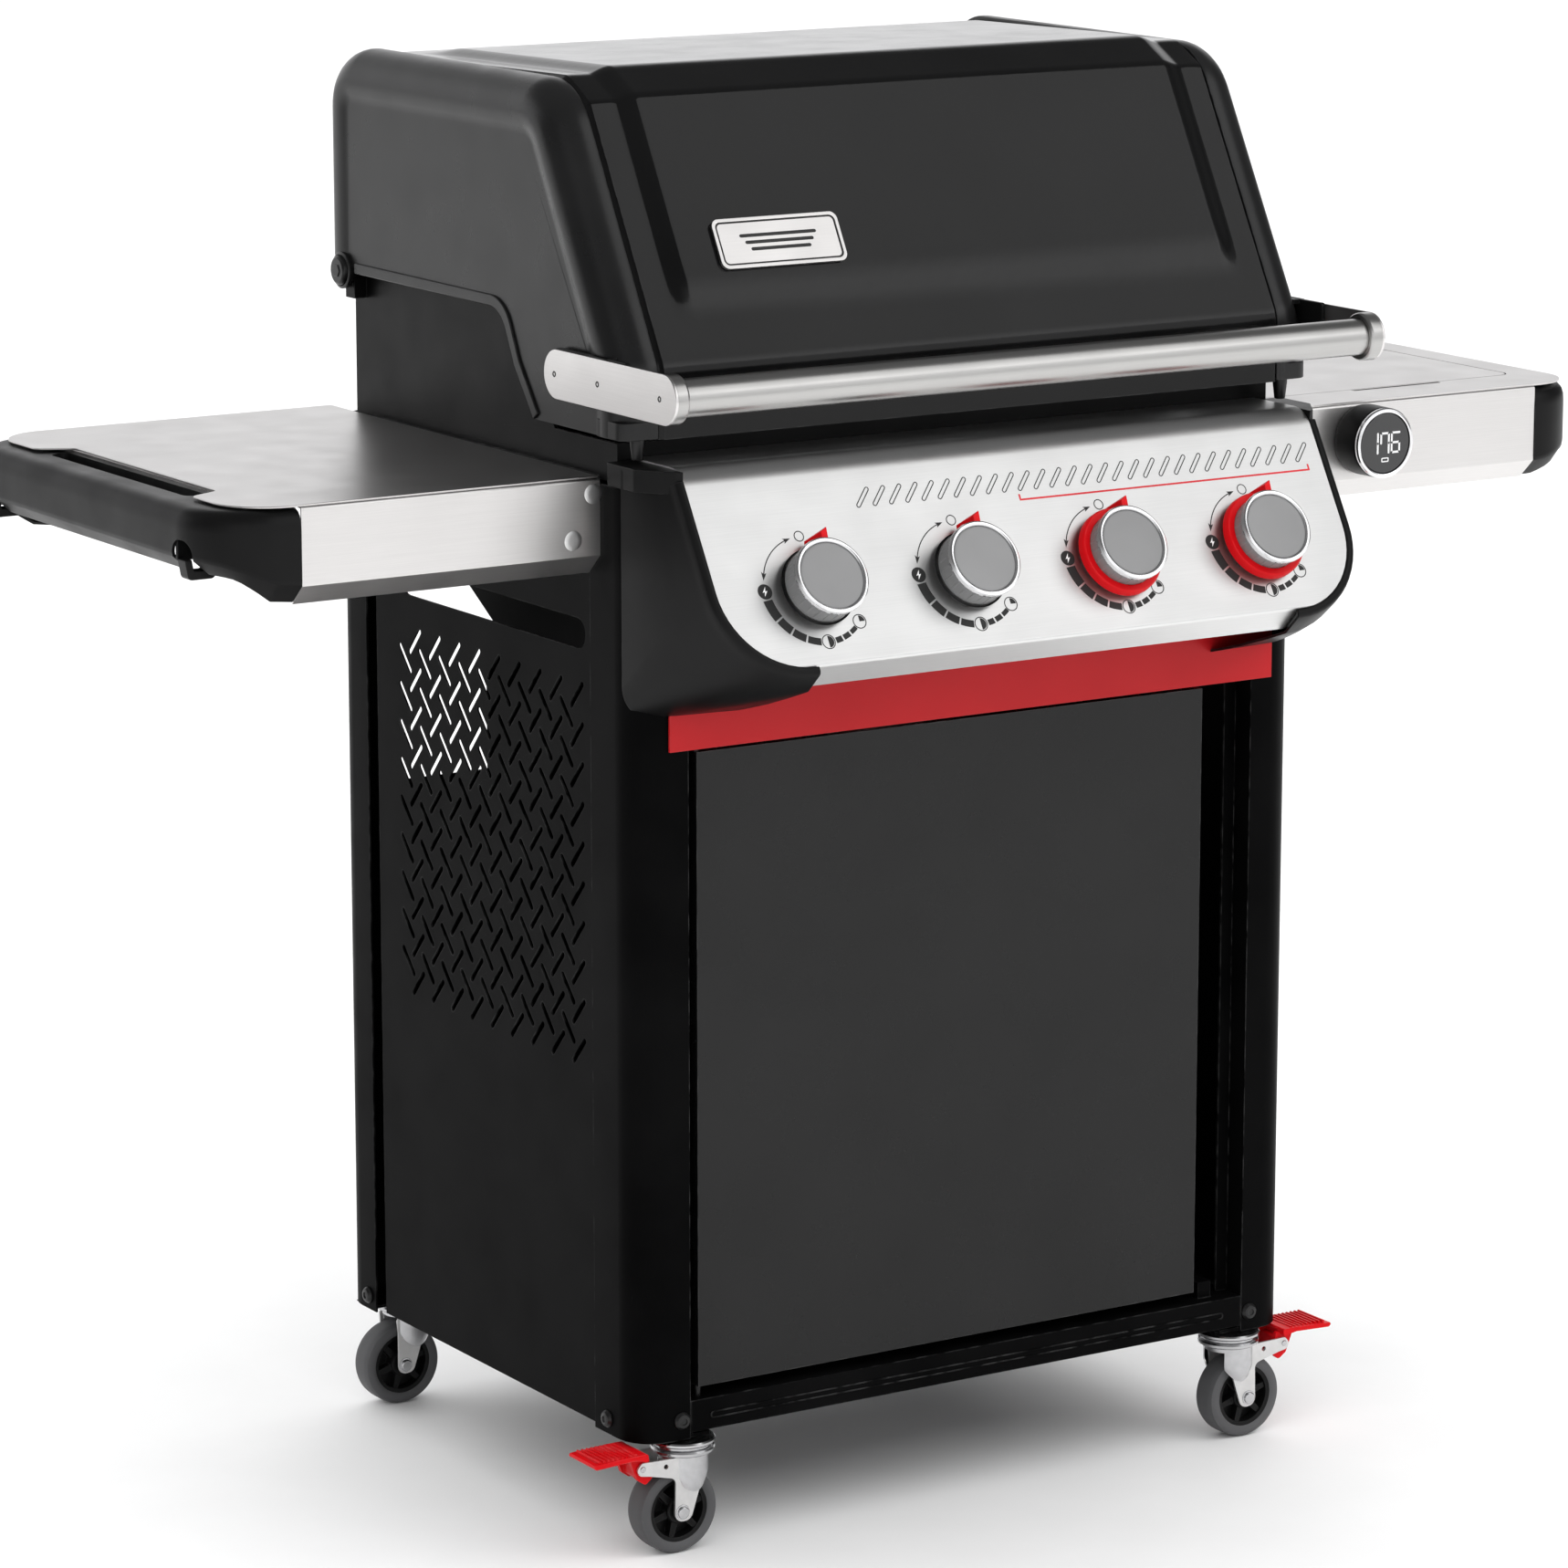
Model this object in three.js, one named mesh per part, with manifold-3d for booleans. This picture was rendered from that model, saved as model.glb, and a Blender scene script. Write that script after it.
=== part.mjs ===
// Gas barbecue grill on a caster cart: four burners, hinged lid, two side tables, cabinet door.
// Millimetres, +Z up, +X to the grill's own left-to-right, the cook stands at -Y.
// The parts are drawn with Y = 0 on the lid's middle and the last lines move the
// whole grill so that the frame's origin is the centre of its footprint, on the ground.
import * as THREE from 'three';
import { mergeVertices } from 'three/addons/utils/BufferGeometryUtils.js';
import { ConvexGeometry } from 'three/addons/geometries/ConvexGeometry.js';
import Module from 'manifold-3d';

const wasm = await Module();
wasm.setup();

// ---------- driving dimensions ----------
const GAP = 0.4;                 // clearance between neighbouring pieces
const SHEET = 2;                 // folded steel thickness

// cart
const CART_HALF = 336;           // half width over the legs
const CART_FRONT = -306;
const CART_REAR = 208;
const LEG_BOTTOM = 100;
const LEG_TOP = 905;
const LEG_RADIUS = 31;           // outer bend of a corner leg
const JAMB_HALF = 284.5;           // half width of the cabinet opening
const JAMB_DEPTH = 24;           // depth of the leg flange beside the opening
const STOP_WIDTH = 12;
const LEG_SIDE_FLANGE = 70;      // leg flange along the side, from the corner
const RAIL_TOP = 132.7;
const RAIL_BOTTOM = 105;
const PANEL_FACE = 335;          // outer face of the side panels
const PANEL_FRONT = -235.5;
const PANEL_REAR = 133;

// cabinet door and the red rail above it
const DOOR_LEFT = -274.5;
const DOOR_RIGHT = 235.6;
const DOOR_BOTTOM = 142.4;
const DOOR_TOP = 684;
const DOOR_FACE = -302;
const DOOR_DEPTH = 16;
const DOOR_HINGE = { x: -272, y: -296 };
const RED_BOTTOM = 688;
const RED_TOP = 752;
const RED_HALF = 304;

// control panel: a plane leaning back from the vertical
const CONTROL_TOP = { y: -343, z: 920 };
const CONTROL_LEAN = THREE.MathUtils.degToRad(30.8);
const CONTROL_HEIGHT = 171;      // along the slope
const CONTROL_HALF = 312;
const CONTROL_CORNER = 70;
const CONTROL_BACK = -266;
const CONTROL_TOP_Z = 926;
const KNOB_DOWN = 106.5;         // knob centre below the top edge, along the slope
const KNOB_PITCH = 147.3;
const KNOB_RADIUS = 32.8;
const KNOB_FACE = 32;            // knob face above the panel
const KNOB_BASE = 7;
const STEM_RADIUS = 4;
const STEM_DEPTH = 42;           // stem end behind the panel

// firebox and what is in it
const BOX_HALF = 326;              // upper rim, above the cart
const BOX_LOWER_HALF = 318;        // tub between the side panels
const BOX_FRONT = -265;
const BOX_REAR = 180;
const BOX_BOTTOM = 800;
const BOX_FRONT_TOP = 938;
const BOX_SIDE_TOP = 1030;
const BOX_WALL = 3;
const BOX_STEP_Z = LEG_TOP + GAP;  // rim flange that rests on the cart
const BURNER_Z = 836;
const BURNER_RADIUS = 13;
const HEAT_BAR_Z = 868;
const GRATE_Z = 918;
const GRATE_BAR = 9;
const GRATE_HEIGHT = 13;

// lid
const LID_HALF = 344;
const LID_SEAM = 308.5;          // seam between the shell and an end casting
const LID_REAR = 205;
const LID_TOP = 1224;
const LID_FRONT = -303;
const LID_BOTTOM = 945;
const LID_BREAK_Z = 1002;        // where the sloping face meets the upright skirt
const LID_LEAN = THREE.MathUtils.degToRad(29.4);
const CASTING_WALL = 4;
const CASTING_ROUND = 26;
const HINGE = { y: 171, z: 1034 };

// lid handle
const HANDLE = { y: -378.5, z: 990 };
const HANDLE_RADIUS = 15.5;
const HANDLE_HALF = 346;
const BRACKET_RADIUS = 20.5;
const BRACKET_REAR = -169.5;     // centre of the rear round end
const BRACKET_FACE = 351.2;

// side tables
const TABLE_TOP = 912;
const TABLE_FRONT = -258;
const TABLE_REAR = 207;
const TABLE_IN = 338.5;
const TABLE_OUT = 692;
const LEFT_SEAM = 611;
const RIGHT_SEAM = 630;
const LEFT_APRON = 847;
const RIGHT_APRON = 843.5;
const TABLE_CORNER = 58;
const COVER = { x0: 372, x1: 652, y0: -197, y1: 170, radius: 14 };

// casters
const WHEEL_RADIUS = 37.5;
const WHEEL_SIDES = 24;
const WHEEL_HALF_WIDTH = 13;
const CASTER_X = 283;
const CASTER_FRONT = -290;
const CASTER_REAR = 192;
const CASTER_TRAIL = 10.5;
const FORK_INNER = 15;
const FORK_OUTER = 18;
const PEDAL_PIN = { x: 49, z: 81.5 };   // from the swivel axis

// ---------- materials ----------
const paint = (color, roughness, metalness) =>
  new THREE.MeshStandardMaterial({ color, roughness, metalness });
const cartBlack = paint('#1c1c1d', 0.55, 0.2);
const doorGrey = paint('#2b2b2c', 0.5, 0.2);
const enamelBlack = paint('#1e1e1f', 0.28, 0.1);
const castBlack = paint('#333435', 0.45, 0.3);
const plasticBlack = paint('#2a2a2b', 0.55, 0);
const stainless = paint('#cfcdca', 0.32, 0.9);
const brushed = paint('#bdbbb8', 0.28, 1);
const redPaint = paint('#b3262c', 0.4, 0.1);
const redPlastic = paint('#e3161d', 0.4, 0);
const castIron = paint('#26262a', 0.7, 0.4);
const burnerSteel = paint('#9a9894', 0.4, 0.9);
const aluminium = paint('#aeb0b2', 0.5, 0.8);
const brass = paint('#b89a55', 0.35, 0.9);
const zinc = paint('#c9c9cb', 0.3, 0.95);
const knobGrey = paint('#8f8f90', 0.35, 0.8);
const tyreGrey = paint('#59595b', 0.75, 0);
const glassBlack = paint('#111113', 0.1, 0);

// ---------- geometry helpers ----------
const v2 = (a, b) => new THREE.Vector2(a, b);

function block(x0, x1, y0, y1, z0, z1) {
  const geometry = new THREE.BoxGeometry(x1 - x0, y1 - y0, z1 - z0);
  return geometry.translate((x0 + x1) / 2, (y0 + y1) / 2, (z0 + z1) / 2);
}

// A shape drawn in (y, z) and extruded along X from x0 to x1.
function alongX(shape, x0, x1, curveSegments = 6) {
  const geometry = new THREE.ExtrudeGeometry(shape, { depth: x1 - x0, bevelEnabled: false, curveSegments });
  const turn = new THREE.Matrix4().makeBasis(
    new THREE.Vector3(0, 1, 0), new THREE.Vector3(0, 0, 1), new THREE.Vector3(1, 0, 0));
  return geometry.applyMatrix4(turn).translate(x0, 0, 0);
}

// A shape drawn in (x, z) and extruded along Y from y0 to y1.
function alongY(shape, y0, y1, curveSegments = 6) {
  const geometry = new THREE.ExtrudeGeometry(shape, { depth: y1 - y0, bevelEnabled: false, curveSegments });
  return geometry.rotateX(Math.PI / 2).translate(0, y1, 0);
}

// A shape drawn in (x, y) and extruded along Z from z0 to z1.
function alongZ(shape, z0, z1, curveSegments = 6) {
  const geometry = new THREE.ExtrudeGeometry(shape, { depth: z1 - z0, bevelEnabled: false, curveSegments });
  return geometry.translate(0, 0, z0);
}

function rodX(radius, x0, x1, y, z, sides = 12) {
  const geometry = new THREE.CylinderGeometry(radius, radius, x1 - x0, sides);
  return geometry.rotateZ(Math.PI / 2).translate((x0 + x1) / 2, y, z);
}

function rodY(radius, y0, y1, x, z, sides = 12) {
  const geometry = new THREE.CylinderGeometry(radius, radius, y1 - y0, sides);
  return geometry.translate(x, (y0 + y1) / 2, z);
}

function rodZ(radius, z0, z1, x, y, sides = 12) {
  const geometry = new THREE.CylinderGeometry(radius, radius, z1 - z0, sides);
  return geometry.rotateX(Math.PI / 2).translate(x, y, (z0 + z1) / 2);
}

function solid(geometry) {
  const bare = geometry.clone();
  bare.deleteAttribute('normal');
  bare.deleteAttribute('uv');
  const merged = mergeVertices(bare, 1e-4);
  return new wasm.Manifold(new wasm.Mesh({
    numProp: 3,
    vertProperties: new Float32Array(merged.attributes.position.array),
    triVerts: new Uint32Array(merged.index.array),
  }));
}

function geometryOf(body) {
  const mesh = body.getMesh();
  const geometry = new THREE.BufferGeometry();
  geometry.setAttribute('position', new THREE.BufferAttribute(new Float32Array(mesh.vertProperties), 3));
  geometry.setIndex(new THREE.BufferAttribute(new Uint32Array(mesh.triVerts), 1));
  geometry.computeVertexNormals();
  return geometry;
}

function join(...geometries) {
  return geometryOf(geometries.map(solid).reduce((sum, next) => sum.add(next)));
}

function cut(geometry, ...tools) {
  return geometryOf(tools.map(solid).reduce((rest, tool) => rest.subtract(tool), solid(geometry)));
}

function common(geometry, other) {
  return geometryOf(solid(geometry).intersect(solid(other)));
}

// The mirror image of a geometry on the other side of the grill's middle plane.
function mirrored(geometry) {
  const copy = geometry.index ? geometry.clone() : mergeVertices(geometry);
  const position = copy.attributes.position;
  for (let i = 0; i < position.count; i += 1) position.setX(i, -position.getX(i));
  const index = copy.index;
  for (let i = 0; i < index.count; i += 3) {
    const second = index.getX(i + 1);
    index.setX(i + 1, index.getX(i + 2));
    index.setX(i + 2, second);
  }
  copy.computeVertexNormals();
  return copy;
}

// Replaces each inner corner of a polyline by an arc; closed outlines round every corner.
function rounded(points, radii, closed, steps = 4) {
  const out = [];
  const last = points.length - 1;
  points.forEach((corner, i) => {
    const radius = Array.isArray(radii) ? radii[i] : radii;
    const end = !closed && (i === 0 || i === last);
    if (end || !radius) {
      out.push(corner);
      return;
    }
    const before = points[(i + last) % points.length];
    const after = points[(i + 1) % points.length];
    const to0 = before.clone().sub(corner).normalize();
    const to1 = after.clone().sub(corner).normalize();
    const half = Math.acos(THREE.MathUtils.clamp(to0.dot(to1), -1, 1)) / 2;
    const reach = radius / Math.tan(half);
    const centre = to0.clone().add(to1).normalize().multiplyScalar(radius / Math.sin(half)).add(corner);
    const from = to0.multiplyScalar(reach).add(corner).sub(centre);
    const turn = to1.multiplyScalar(reach).add(corner).sub(centre).angle() - from.angle();
    const sweep = Math.atan2(Math.sin(turn), Math.cos(turn));
    for (let k = 0; k <= steps; k += 1) {
      out.push(from.clone().rotateAround(v2(0, 0), (sweep * k) / steps).add(centre));
    }
  });
  return out;
}

// Offsets a polyline sideways by a distance, mitred at its corners.
function offsetLine(points, distance) {
  return points.map((point, i) => {
    const before = points[Math.max(i - 1, 0)];
    const after = points[Math.min(i + 1, points.length - 1)];
    const along0 = i === 0 ? after.clone().sub(point) : point.clone().sub(before);
    const along1 = i === points.length - 1 ? along0.clone() : after.clone().sub(point);
    const n0 = v2(-along0.y, along0.x).normalize();
    const n1 = v2(-along1.y, along1.x).normalize();
    const mitre = n0.clone().add(n1).normalize();
    return mitre.multiplyScalar(distance / mitre.dot(n0)).add(point);
  });
}

// Cross section of bent sheet: the outer line and the same line one thickness to its left.
function sheetShape(points, radius, thickness = SHEET, steps = 4) {
  const outer = rounded(points, radius, false, steps);
  const inner = offsetLine(outer, thickness);
  return new THREE.Shape([...outer, ...inner.reverse()]);
}

function rectangle(a0, a1, b0, b1, radius = 0, steps = 4) {
  const corners = [v2(a0, b0), v2(a1, b0), v2(a1, b1), v2(a0, b1)];
  return new THREE.Shape(radius ? rounded(corners, radius, true, steps) : corners);
}

const grill = new THREE.Group();

function piece(name, geometry, material, parent = grill) {
  const mesh = new THREE.Mesh(geometry, material);
  mesh.name = name;
  parent.add(mesh);
  return mesh;
}

// ---------- cart ----------
// A corner leg: angle section with a wide outer bend, a return flange at the opening and a narrow door stop.
function frontLeg(side) {
  const line = [
    v2(JAMB_HALF, CART_FRONT + JAMB_DEPTH), v2(JAMB_HALF, CART_FRONT),
    v2(CART_HALF, CART_FRONT), v2(CART_HALF, CART_FRONT + LEG_SIDE_FLANGE),
  ];
  const section = sheetShape(line, [0, 0, LEG_RADIUS, 0], SHEET, 6);
  const foot = block(JAMB_HALF - 20, CART_HALF - 3, CART_FRONT + 3, CASTER_FRONT + 32, LEG_BOTTOM, LEG_BOTTOM + 3);
  const stop = block(
    JAMB_HALF - STOP_WIDTH, JAMB_HALF + 1, CART_FRONT + JAMB_DEPTH - SHEET, CART_FRONT + JAMB_DEPTH,
    RAIL_TOP + GAP, RED_BOTTOM - GAP);
  const leg = join(alongZ(section, LEG_BOTTOM, LEG_TOP), stop, common(foot, footOutline(CART_FRONT, 1)));
  return side > 0 ? leg : mirrored(leg);
}

function rearLeg(side) {
  const line = [
    v2(CART_HALF, CART_REAR - 58), v2(CART_HALF, CART_REAR), v2(JAMB_HALF, CART_REAR),
  ];
  const section = sheetShape(line, [0, LEG_RADIUS, 0], SHEET, 6);
  const foot = block(JAMB_HALF - 20, CART_HALF - 3, CASTER_REAR - 32, CART_REAR - 3, LEG_BOTTOM, LEG_BOTTOM + 3);
  const leg = join(alongZ(section, LEG_BOTTOM, LEG_TOP), common(foot, footOutline(CART_REAR, -1)));
  return side > 0 ? leg : mirrored(leg);
}

// The caster plate fills the leg's bend, so it follows the same rounded corner.
function footOutline(face, inward) {
  const inset = SHEET - 0.5;
  const x0 = JAMB_HALF - 40;
  const y0 = face + inward * inset;
  const y1 = face + inward * 120;
  const corners = [v2(x0, y0), v2(CART_HALF - inset, y0), v2(CART_HALF - inset, y1), v2(x0, y1)];
  const ordered = inward > 0 ? corners : corners.reverse();
  const radii = inward > 0 ? [0, LEG_RADIUS - inset, 0, 0] : [0, 0, LEG_RADIUS - inset, 0];
  return alongZ(new THREE.Shape(rounded(ordered, radii, true, 6)), LEG_BOTTOM - 1, LEG_BOTTOM + 4);
}

// Side panel with a joggled rear edge and a hand hole near its top.
function sidePanel(side) {
  const step = 13;
  const line = [
    v2(PANEL_FACE - 12, PANEL_FRONT), v2(PANEL_FACE, PANEL_FRONT), v2(PANEL_FACE, PANEL_REAR),
    v2(PANEL_FACE - step, PANEL_REAR), v2(PANEL_FACE - step, PANEL_REAR + 16),
  ];
  const sheet = alongZ(sheetShape(line, 0, 1.6), RAIL_BOTTOM - 1, LEG_TOP);
  const handHole = alongX(rectangle(-227, 85, 763, 788, 12), PANEL_FACE - 5, PANEL_FACE + 5);
  const panel = cut(sheet, handHole);
  return side > 0 ? panel : mirrored(panel);
}

// Channel under the door, with the hole for the lower door pin and the door stop.
function frontBottomRail() {
  const line = [
    v2(CART_FRONT + 36, RAIL_TOP), v2(CART_FRONT, RAIL_TOP),
    v2(CART_FRONT, RAIL_BOTTOM), v2(CART_FRONT + 36, RAIL_BOTTOM),
  ];
  const section = sheetShape(line, 0, SHEET);
  const half = JAMB_HALF - GAP;
  const stop = block(246, 260, CART_FRONT + 12, CART_FRONT + 24, RAIL_TOP - 1, RAIL_TOP + 15);
  const channel = join(alongX(section, -half, half), stop);
  return cut(channel, rodZ(3.5, RAIL_TOP - 6, RAIL_TOP + 2, DOOR_HINGE.x, DOOR_HINGE.y));
}

function bottomShelf() {
  const z0 = RAIL_BOTTOM + SHEET + GAP;
  const wide = block(-331, 331, -233, 131, z0, z0 + SHEET);
  const narrow = block(-261, 261, CART_FRONT + 3, CART_REAR - 4, z0, z0 + SHEET);
  return join(wide, narrow);
}

// Rear panel: low at the sides, higher in the middle behind the gas bottle space.
function rearPanel() {
  const half = JAMB_HALF - GAP;
  const outline = [
    v2(-half, RAIL_BOTTOM), v2(half, RAIL_BOTTOM), v2(half, 570), v2(185, 570),
    v2(185, 672), v2(-185, 672), v2(-185, 570), v2(-half, 570),
  ];
  return alongY(new THREE.Shape(outline), CART_REAR - SHEET - 1, CART_REAR - 1);
}

function rearCrossbar() {
  const line = [
    v2(CART_REAR - 26, LEG_TOP - GAP), v2(CART_REAR - 1, LEG_TOP - GAP),
    v2(CART_REAR - 1, 850), v2(CART_REAR - 26, 850),
  ];
  const half = JAMB_HALF - GAP;
  return alongX(sheetShape(line.reverse(), 0, SHEET), -half, half);
}

// Red rail: a face sheet over the leg fronts and a return flange that holds the upper door pin.
function redRail() {
  const face = CART_FRONT - 3;
  const front = block(-RED_HALF, RED_HALF, face, face + 2.4, RED_BOTTOM, RED_TOP);
  const flange = block(-JAMB_HALF + 1, JAMB_HALF - 1, face, CART_FRONT + 26, RED_BOTTOM, RED_BOTTOM + SHEET);
  return cut(join(front, flange), rodZ(3.5, RED_BOTTOM - 2, RED_BOTTOM + 4, DOOR_HINGE.x, DOOR_HINGE.y));
}

// Door pan with its two hinge pins, open at the back.
function doorPan() {
  const back = DOOR_FACE + DOOR_DEPTH;
  const outer = block(DOOR_LEFT, DOOR_RIGHT, DOOR_FACE, back, DOOR_BOTTOM, DOOR_TOP);
  const inner = block(
    DOOR_LEFT + SHEET, DOOR_RIGHT - SHEET, DOOR_FACE + SHEET, back + 1, DOOR_BOTTOM + SHEET, DOOR_TOP - SHEET);
  const lower = rodZ(3, RAIL_TOP - 4, DOOR_BOTTOM + 1, DOOR_HINGE.x, DOOR_HINGE.y);
  const upper = rodZ(3, DOOR_TOP - 1, RED_BOTTOM + 5, DOOR_HINGE.x, DOOR_HINGE.y);
  return join(cut(outer, inner), lower, upper);
}

// ---------- casters ----------
// Fork on the swivel axis at the origin, wheel trailing toward +X, on the ground at z = 0.
function casterFork(braked) {
  const arm = braked
    ? [v2(CASTER_TRAIL + 9, 66), v2(PEDAL_PIN.x - 2, 75), v2(PEDAL_PIN.x + 6, 79),
      v2(PEDAL_PIN.x + 6, 84), v2(PEDAL_PIN.x, 88), v2(CASTER_TRAIL + 10, 84)]
    : [v2(CASTER_TRAIL + 9, 66), v2(CASTER_TRAIL + 10, 84)];
  const cheek = new THREE.Shape([
    v2(-17, 84), v2(-15, 62), v2(0, 36), v2(4, 28), v2(CASTER_TRAIL, 26), v2(17, 29), v2(20, 38), ...arm,
  ]);
  const cheeks = [-1, 1].map((side) => {
    const y0 = side > 0 ? FORK_INNER : -FORK_OUTER;
    return alongY(cheek, y0, y0 + FORK_OUTER - FORK_INNER);
  });
  const crown = block(-17, CASTER_TRAIL + 10, -FORK_OUTER, FORK_OUTER, 80, 85);
  const race = rodZ(27, 84, 92, 0, 0, 20);
  const stem = rodZ(6, 90, LEG_BOTTOM - GAP, 0, 0);
  const axle = rodY(4.5, -FORK_OUTER - 2.5, FORK_OUTER + 2.5, CASTER_TRAIL, WHEEL_RADIUS);
  const pin = rodY(2.5, -FORK_OUTER, FORK_OUTER, PEDAL_PIN.x, PEDAL_PIN.z, 8);
  const parts = [...cheeks, crown, race, stem, axle];
  return join(...parts, ...(braked ? [pin] : []));
}

// Wheel turned about the Y axis through its hub; its flats touch the ground.
function casterWheel() {
  const rim = WHEEL_RADIUS / Math.cos(Math.PI / WHEEL_SIDES);
  const w = WHEEL_HALF_WIDTH;
  const profile = [
    v2(5.2, -w + 1), v2(12, -w + 1), v2(14, -w + 5), v2(26, -w + 5), v2(28, -w), v2(rim - 3, -w), v2(rim, -w + 4),
    v2(rim, w - 4), v2(rim - 3, w), v2(28, w), v2(26, w - 5), v2(14, w - 5), v2(12, w - 1), v2(5.2, w - 1),
    v2(5.2, -w + 1),
  ];
  const wheel = new THREE.LatheGeometry(profile, WHEEL_SIDES);
  return wheel.rotateY(Math.PI / WHEEL_SIDES).translate(CASTER_TRAIL, 0, WHEEL_RADIUS);
}

// Foot pedal with its brake shoe, turning on the pin between the fork's arms.
function brakePedal() {
  const inner = FORK_INNER - GAP;
  const shoe = new THREE.Shape([
    v2(PEDAL_PIN.x - 8, 71), v2(PEDAL_PIN.x - 3, 66), v2(PEDAL_PIN.x + 4, 72),
    v2(PEDAL_PIN.x + 12, 86), v2(PEDAL_PIN.x + 12, 92), v2(PEDAL_PIN.x - 5, 92),
  ]);
  const plate = new THREE.Shape([
    v2(PEDAL_PIN.x - 1, 89.5), v2(98, 90), v2(98, 94), v2(PEDAL_PIN.x - 1, 95),
  ]);
  const body = join(alongY(shoe, -inner, inner), alongY(plate, -21, 21));
  return cut(body, rodY(2.9, -30, 30, PEDAL_PIN.x, PEDAL_PIN.z, 8));
}

function addCaster(name, x, y, trailSide, braked) {
  const caster = new THREE.Group();
  caster.position.set(x, y, 0);
  const side = (geometry) => (trailSide > 0 ? geometry : mirrored(geometry));
  piece(`caster_fork_${name}`, side(casterFork(braked)), zinc, caster);
  piece(`caster_wheel_${name}`, side(casterWheel()), tyreGrey, caster);
  if (braked) piece(`brake_pedal_${name}`, side(brakePedal()), redPlastic, caster);
  grill.add(caster);
}

// ---------- firebox ----------
function sideWallOutline() {
  return new THREE.Shape([
    v2(BOX_FRONT + 25, BOX_BOTTOM), v2(BOX_REAR - 25, BOX_BOTTOM), v2(BOX_REAR, BOX_BOTTOM + 60),
    v2(BOX_REAR, BOX_SIDE_TOP), v2(-96, BOX_SIDE_TOP), v2(-122, 1012), v2(-164, BOX_FRONT_TOP),
    v2(BOX_FRONT, BOX_FRONT_TOP), v2(BOX_FRONT, BOX_BOTTOM + 60),
  ]);
}

function cavityOutline() {
  const w = BOX_WALL;
  return new THREE.Shape([
    v2(BOX_FRONT + 25, BOX_BOTTOM + w), v2(BOX_REAR - 25, BOX_BOTTOM + w), v2(BOX_REAR - w, BOX_BOTTOM + 61),
    v2(BOX_REAR - w, BOX_SIDE_TOP + 40), v2(BOX_FRONT + w, BOX_SIDE_TOP + 40), v2(BOX_FRONT + w, BOX_BOTTOM + 61),
  ]);
}

// Tub with burner holes, a drain opening, grate ledges, a seat flange, tray rails and hinge lugs.
function fireboxTub() {
  const w = BOX_WALL;
  const rimZone = block(-400, 400, -400, 400, BOX_STEP_Z, 1200);
  const cavityZone = block(-400, 400, -400, 400, BOX_STEP_Z + w, 1200);
  const outside = join(common(alongX(sideWallOutline(), -BOX_HALF, BOX_HALF), rimZone),
    alongX(sideWallOutline(), -BOX_LOWER_HALF, BOX_LOWER_HALF));
  const inside = join(common(alongX(cavityOutline(), w - BOX_HALF, BOX_HALF - w), cavityZone),
    alongX(cavityOutline(), w - BOX_LOWER_HALF, BOX_LOWER_HALF - w));
  const shell = cut(outside, inside);
  const inner = BOX_LOWER_HALF - w + 1;
  const ledges = [
    block(-inner, inner, BOX_FRONT + 1, BOX_FRONT + 14, GRATE_Z - 5, GRATE_Z - GAP),
    block(-inner, inner, BOX_REAR - 14, BOX_REAR - 1, GRATE_Z - 5, GRATE_Z - GAP),
    block(-inner, inner, BOX_FRONT + 1, BOX_FRONT + 14, HEAT_BAR_Z - 5, HEAT_BAR_Z - GAP),
    block(-inner, inner, BOX_REAR - 14, BOX_REAR - 1, HEAT_BAR_Z - 5, HEAT_BAR_Z - GAP),
  ];
  const sides = [-1, 1].flatMap((side) => {
    const span = (a, b) => (side > 0 ? [a, b] : [-b, -a]);
    return [
      block(...span(BOX_HALF - 1, CART_HALF - 1), PANEL_FRONT, 148, BOX_STEP_Z, BOX_STEP_Z + w),
      block(...span(BOX_HALF - 1, 338), 159, 175, 1010, HINGE.z),
      rodX(11, ...span(BOX_HALF - 1, 338), HINGE.y - 4, HINGE.z),
      block(...span(198, 201), -200, 178, 742, BOX_BOTTOM + 1),
      block(...span(186, 200), -200, 178, 742, 745),
    ];
  });
  const burnerHoles = KNOB_POSITIONS.map((x) => rodY(16, BOX_FRONT - 5, BOX_FRONT + 25, x, BURNER_Z));
  const pinHoles = [-1, 1].map((side) => rodX(5.3, side * 332 - 10, side * 332 + 10, HINGE.y, HINGE.z));
  const drain = block(-150, 150, -120, 100, BOX_BOTTOM - 5, BOX_BOTTOM + 10);
  return cut(join(shell, ...ledges, ...sides), ...burnerHoles, ...pinHoles, drain);
}

const KNOB_POSITIONS = [-1.5, -0.5, 0.5, 1.5].map((n) => n * KNOB_PITCH);

// Burner tube with an open mouth toward the valve.
function burner(x) {
  const tube = rodY(BURNER_RADIUS, -292, 150, x, BURNER_Z, 12);
  return cut(tube, rodY(9, -300, -262, x, BURNER_Z, 12));
}

// Tented heat bars over and between the burners, tied by a strip at each end.
function heatBars() {
  const bars = [-1.5, -1, -0.5, 0, 0.5, 1, 1.5].map((n) => {
    const x = n * KNOB_PITCH;
    const tent = [v2(x - 26, HEAT_BAR_Z), v2(x, HEAT_BAR_Z + 28), v2(x + 26, HEAT_BAR_Z)];
    return alongY(sheetShape(tent, 0, SHEET), BOX_FRONT + 5, BOX_REAR - 6);
  });
  const strips = [[BOX_FRONT + 5, BOX_FRONT + 11], [BOX_REAR - 12, BOX_REAR - 6]]
    .map(([y0, y1]) => block(-255, 255, y0, y1, HEAT_BAR_Z, HEAT_BAR_Z + 3));
  return join(...bars, ...strips);
}

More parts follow.
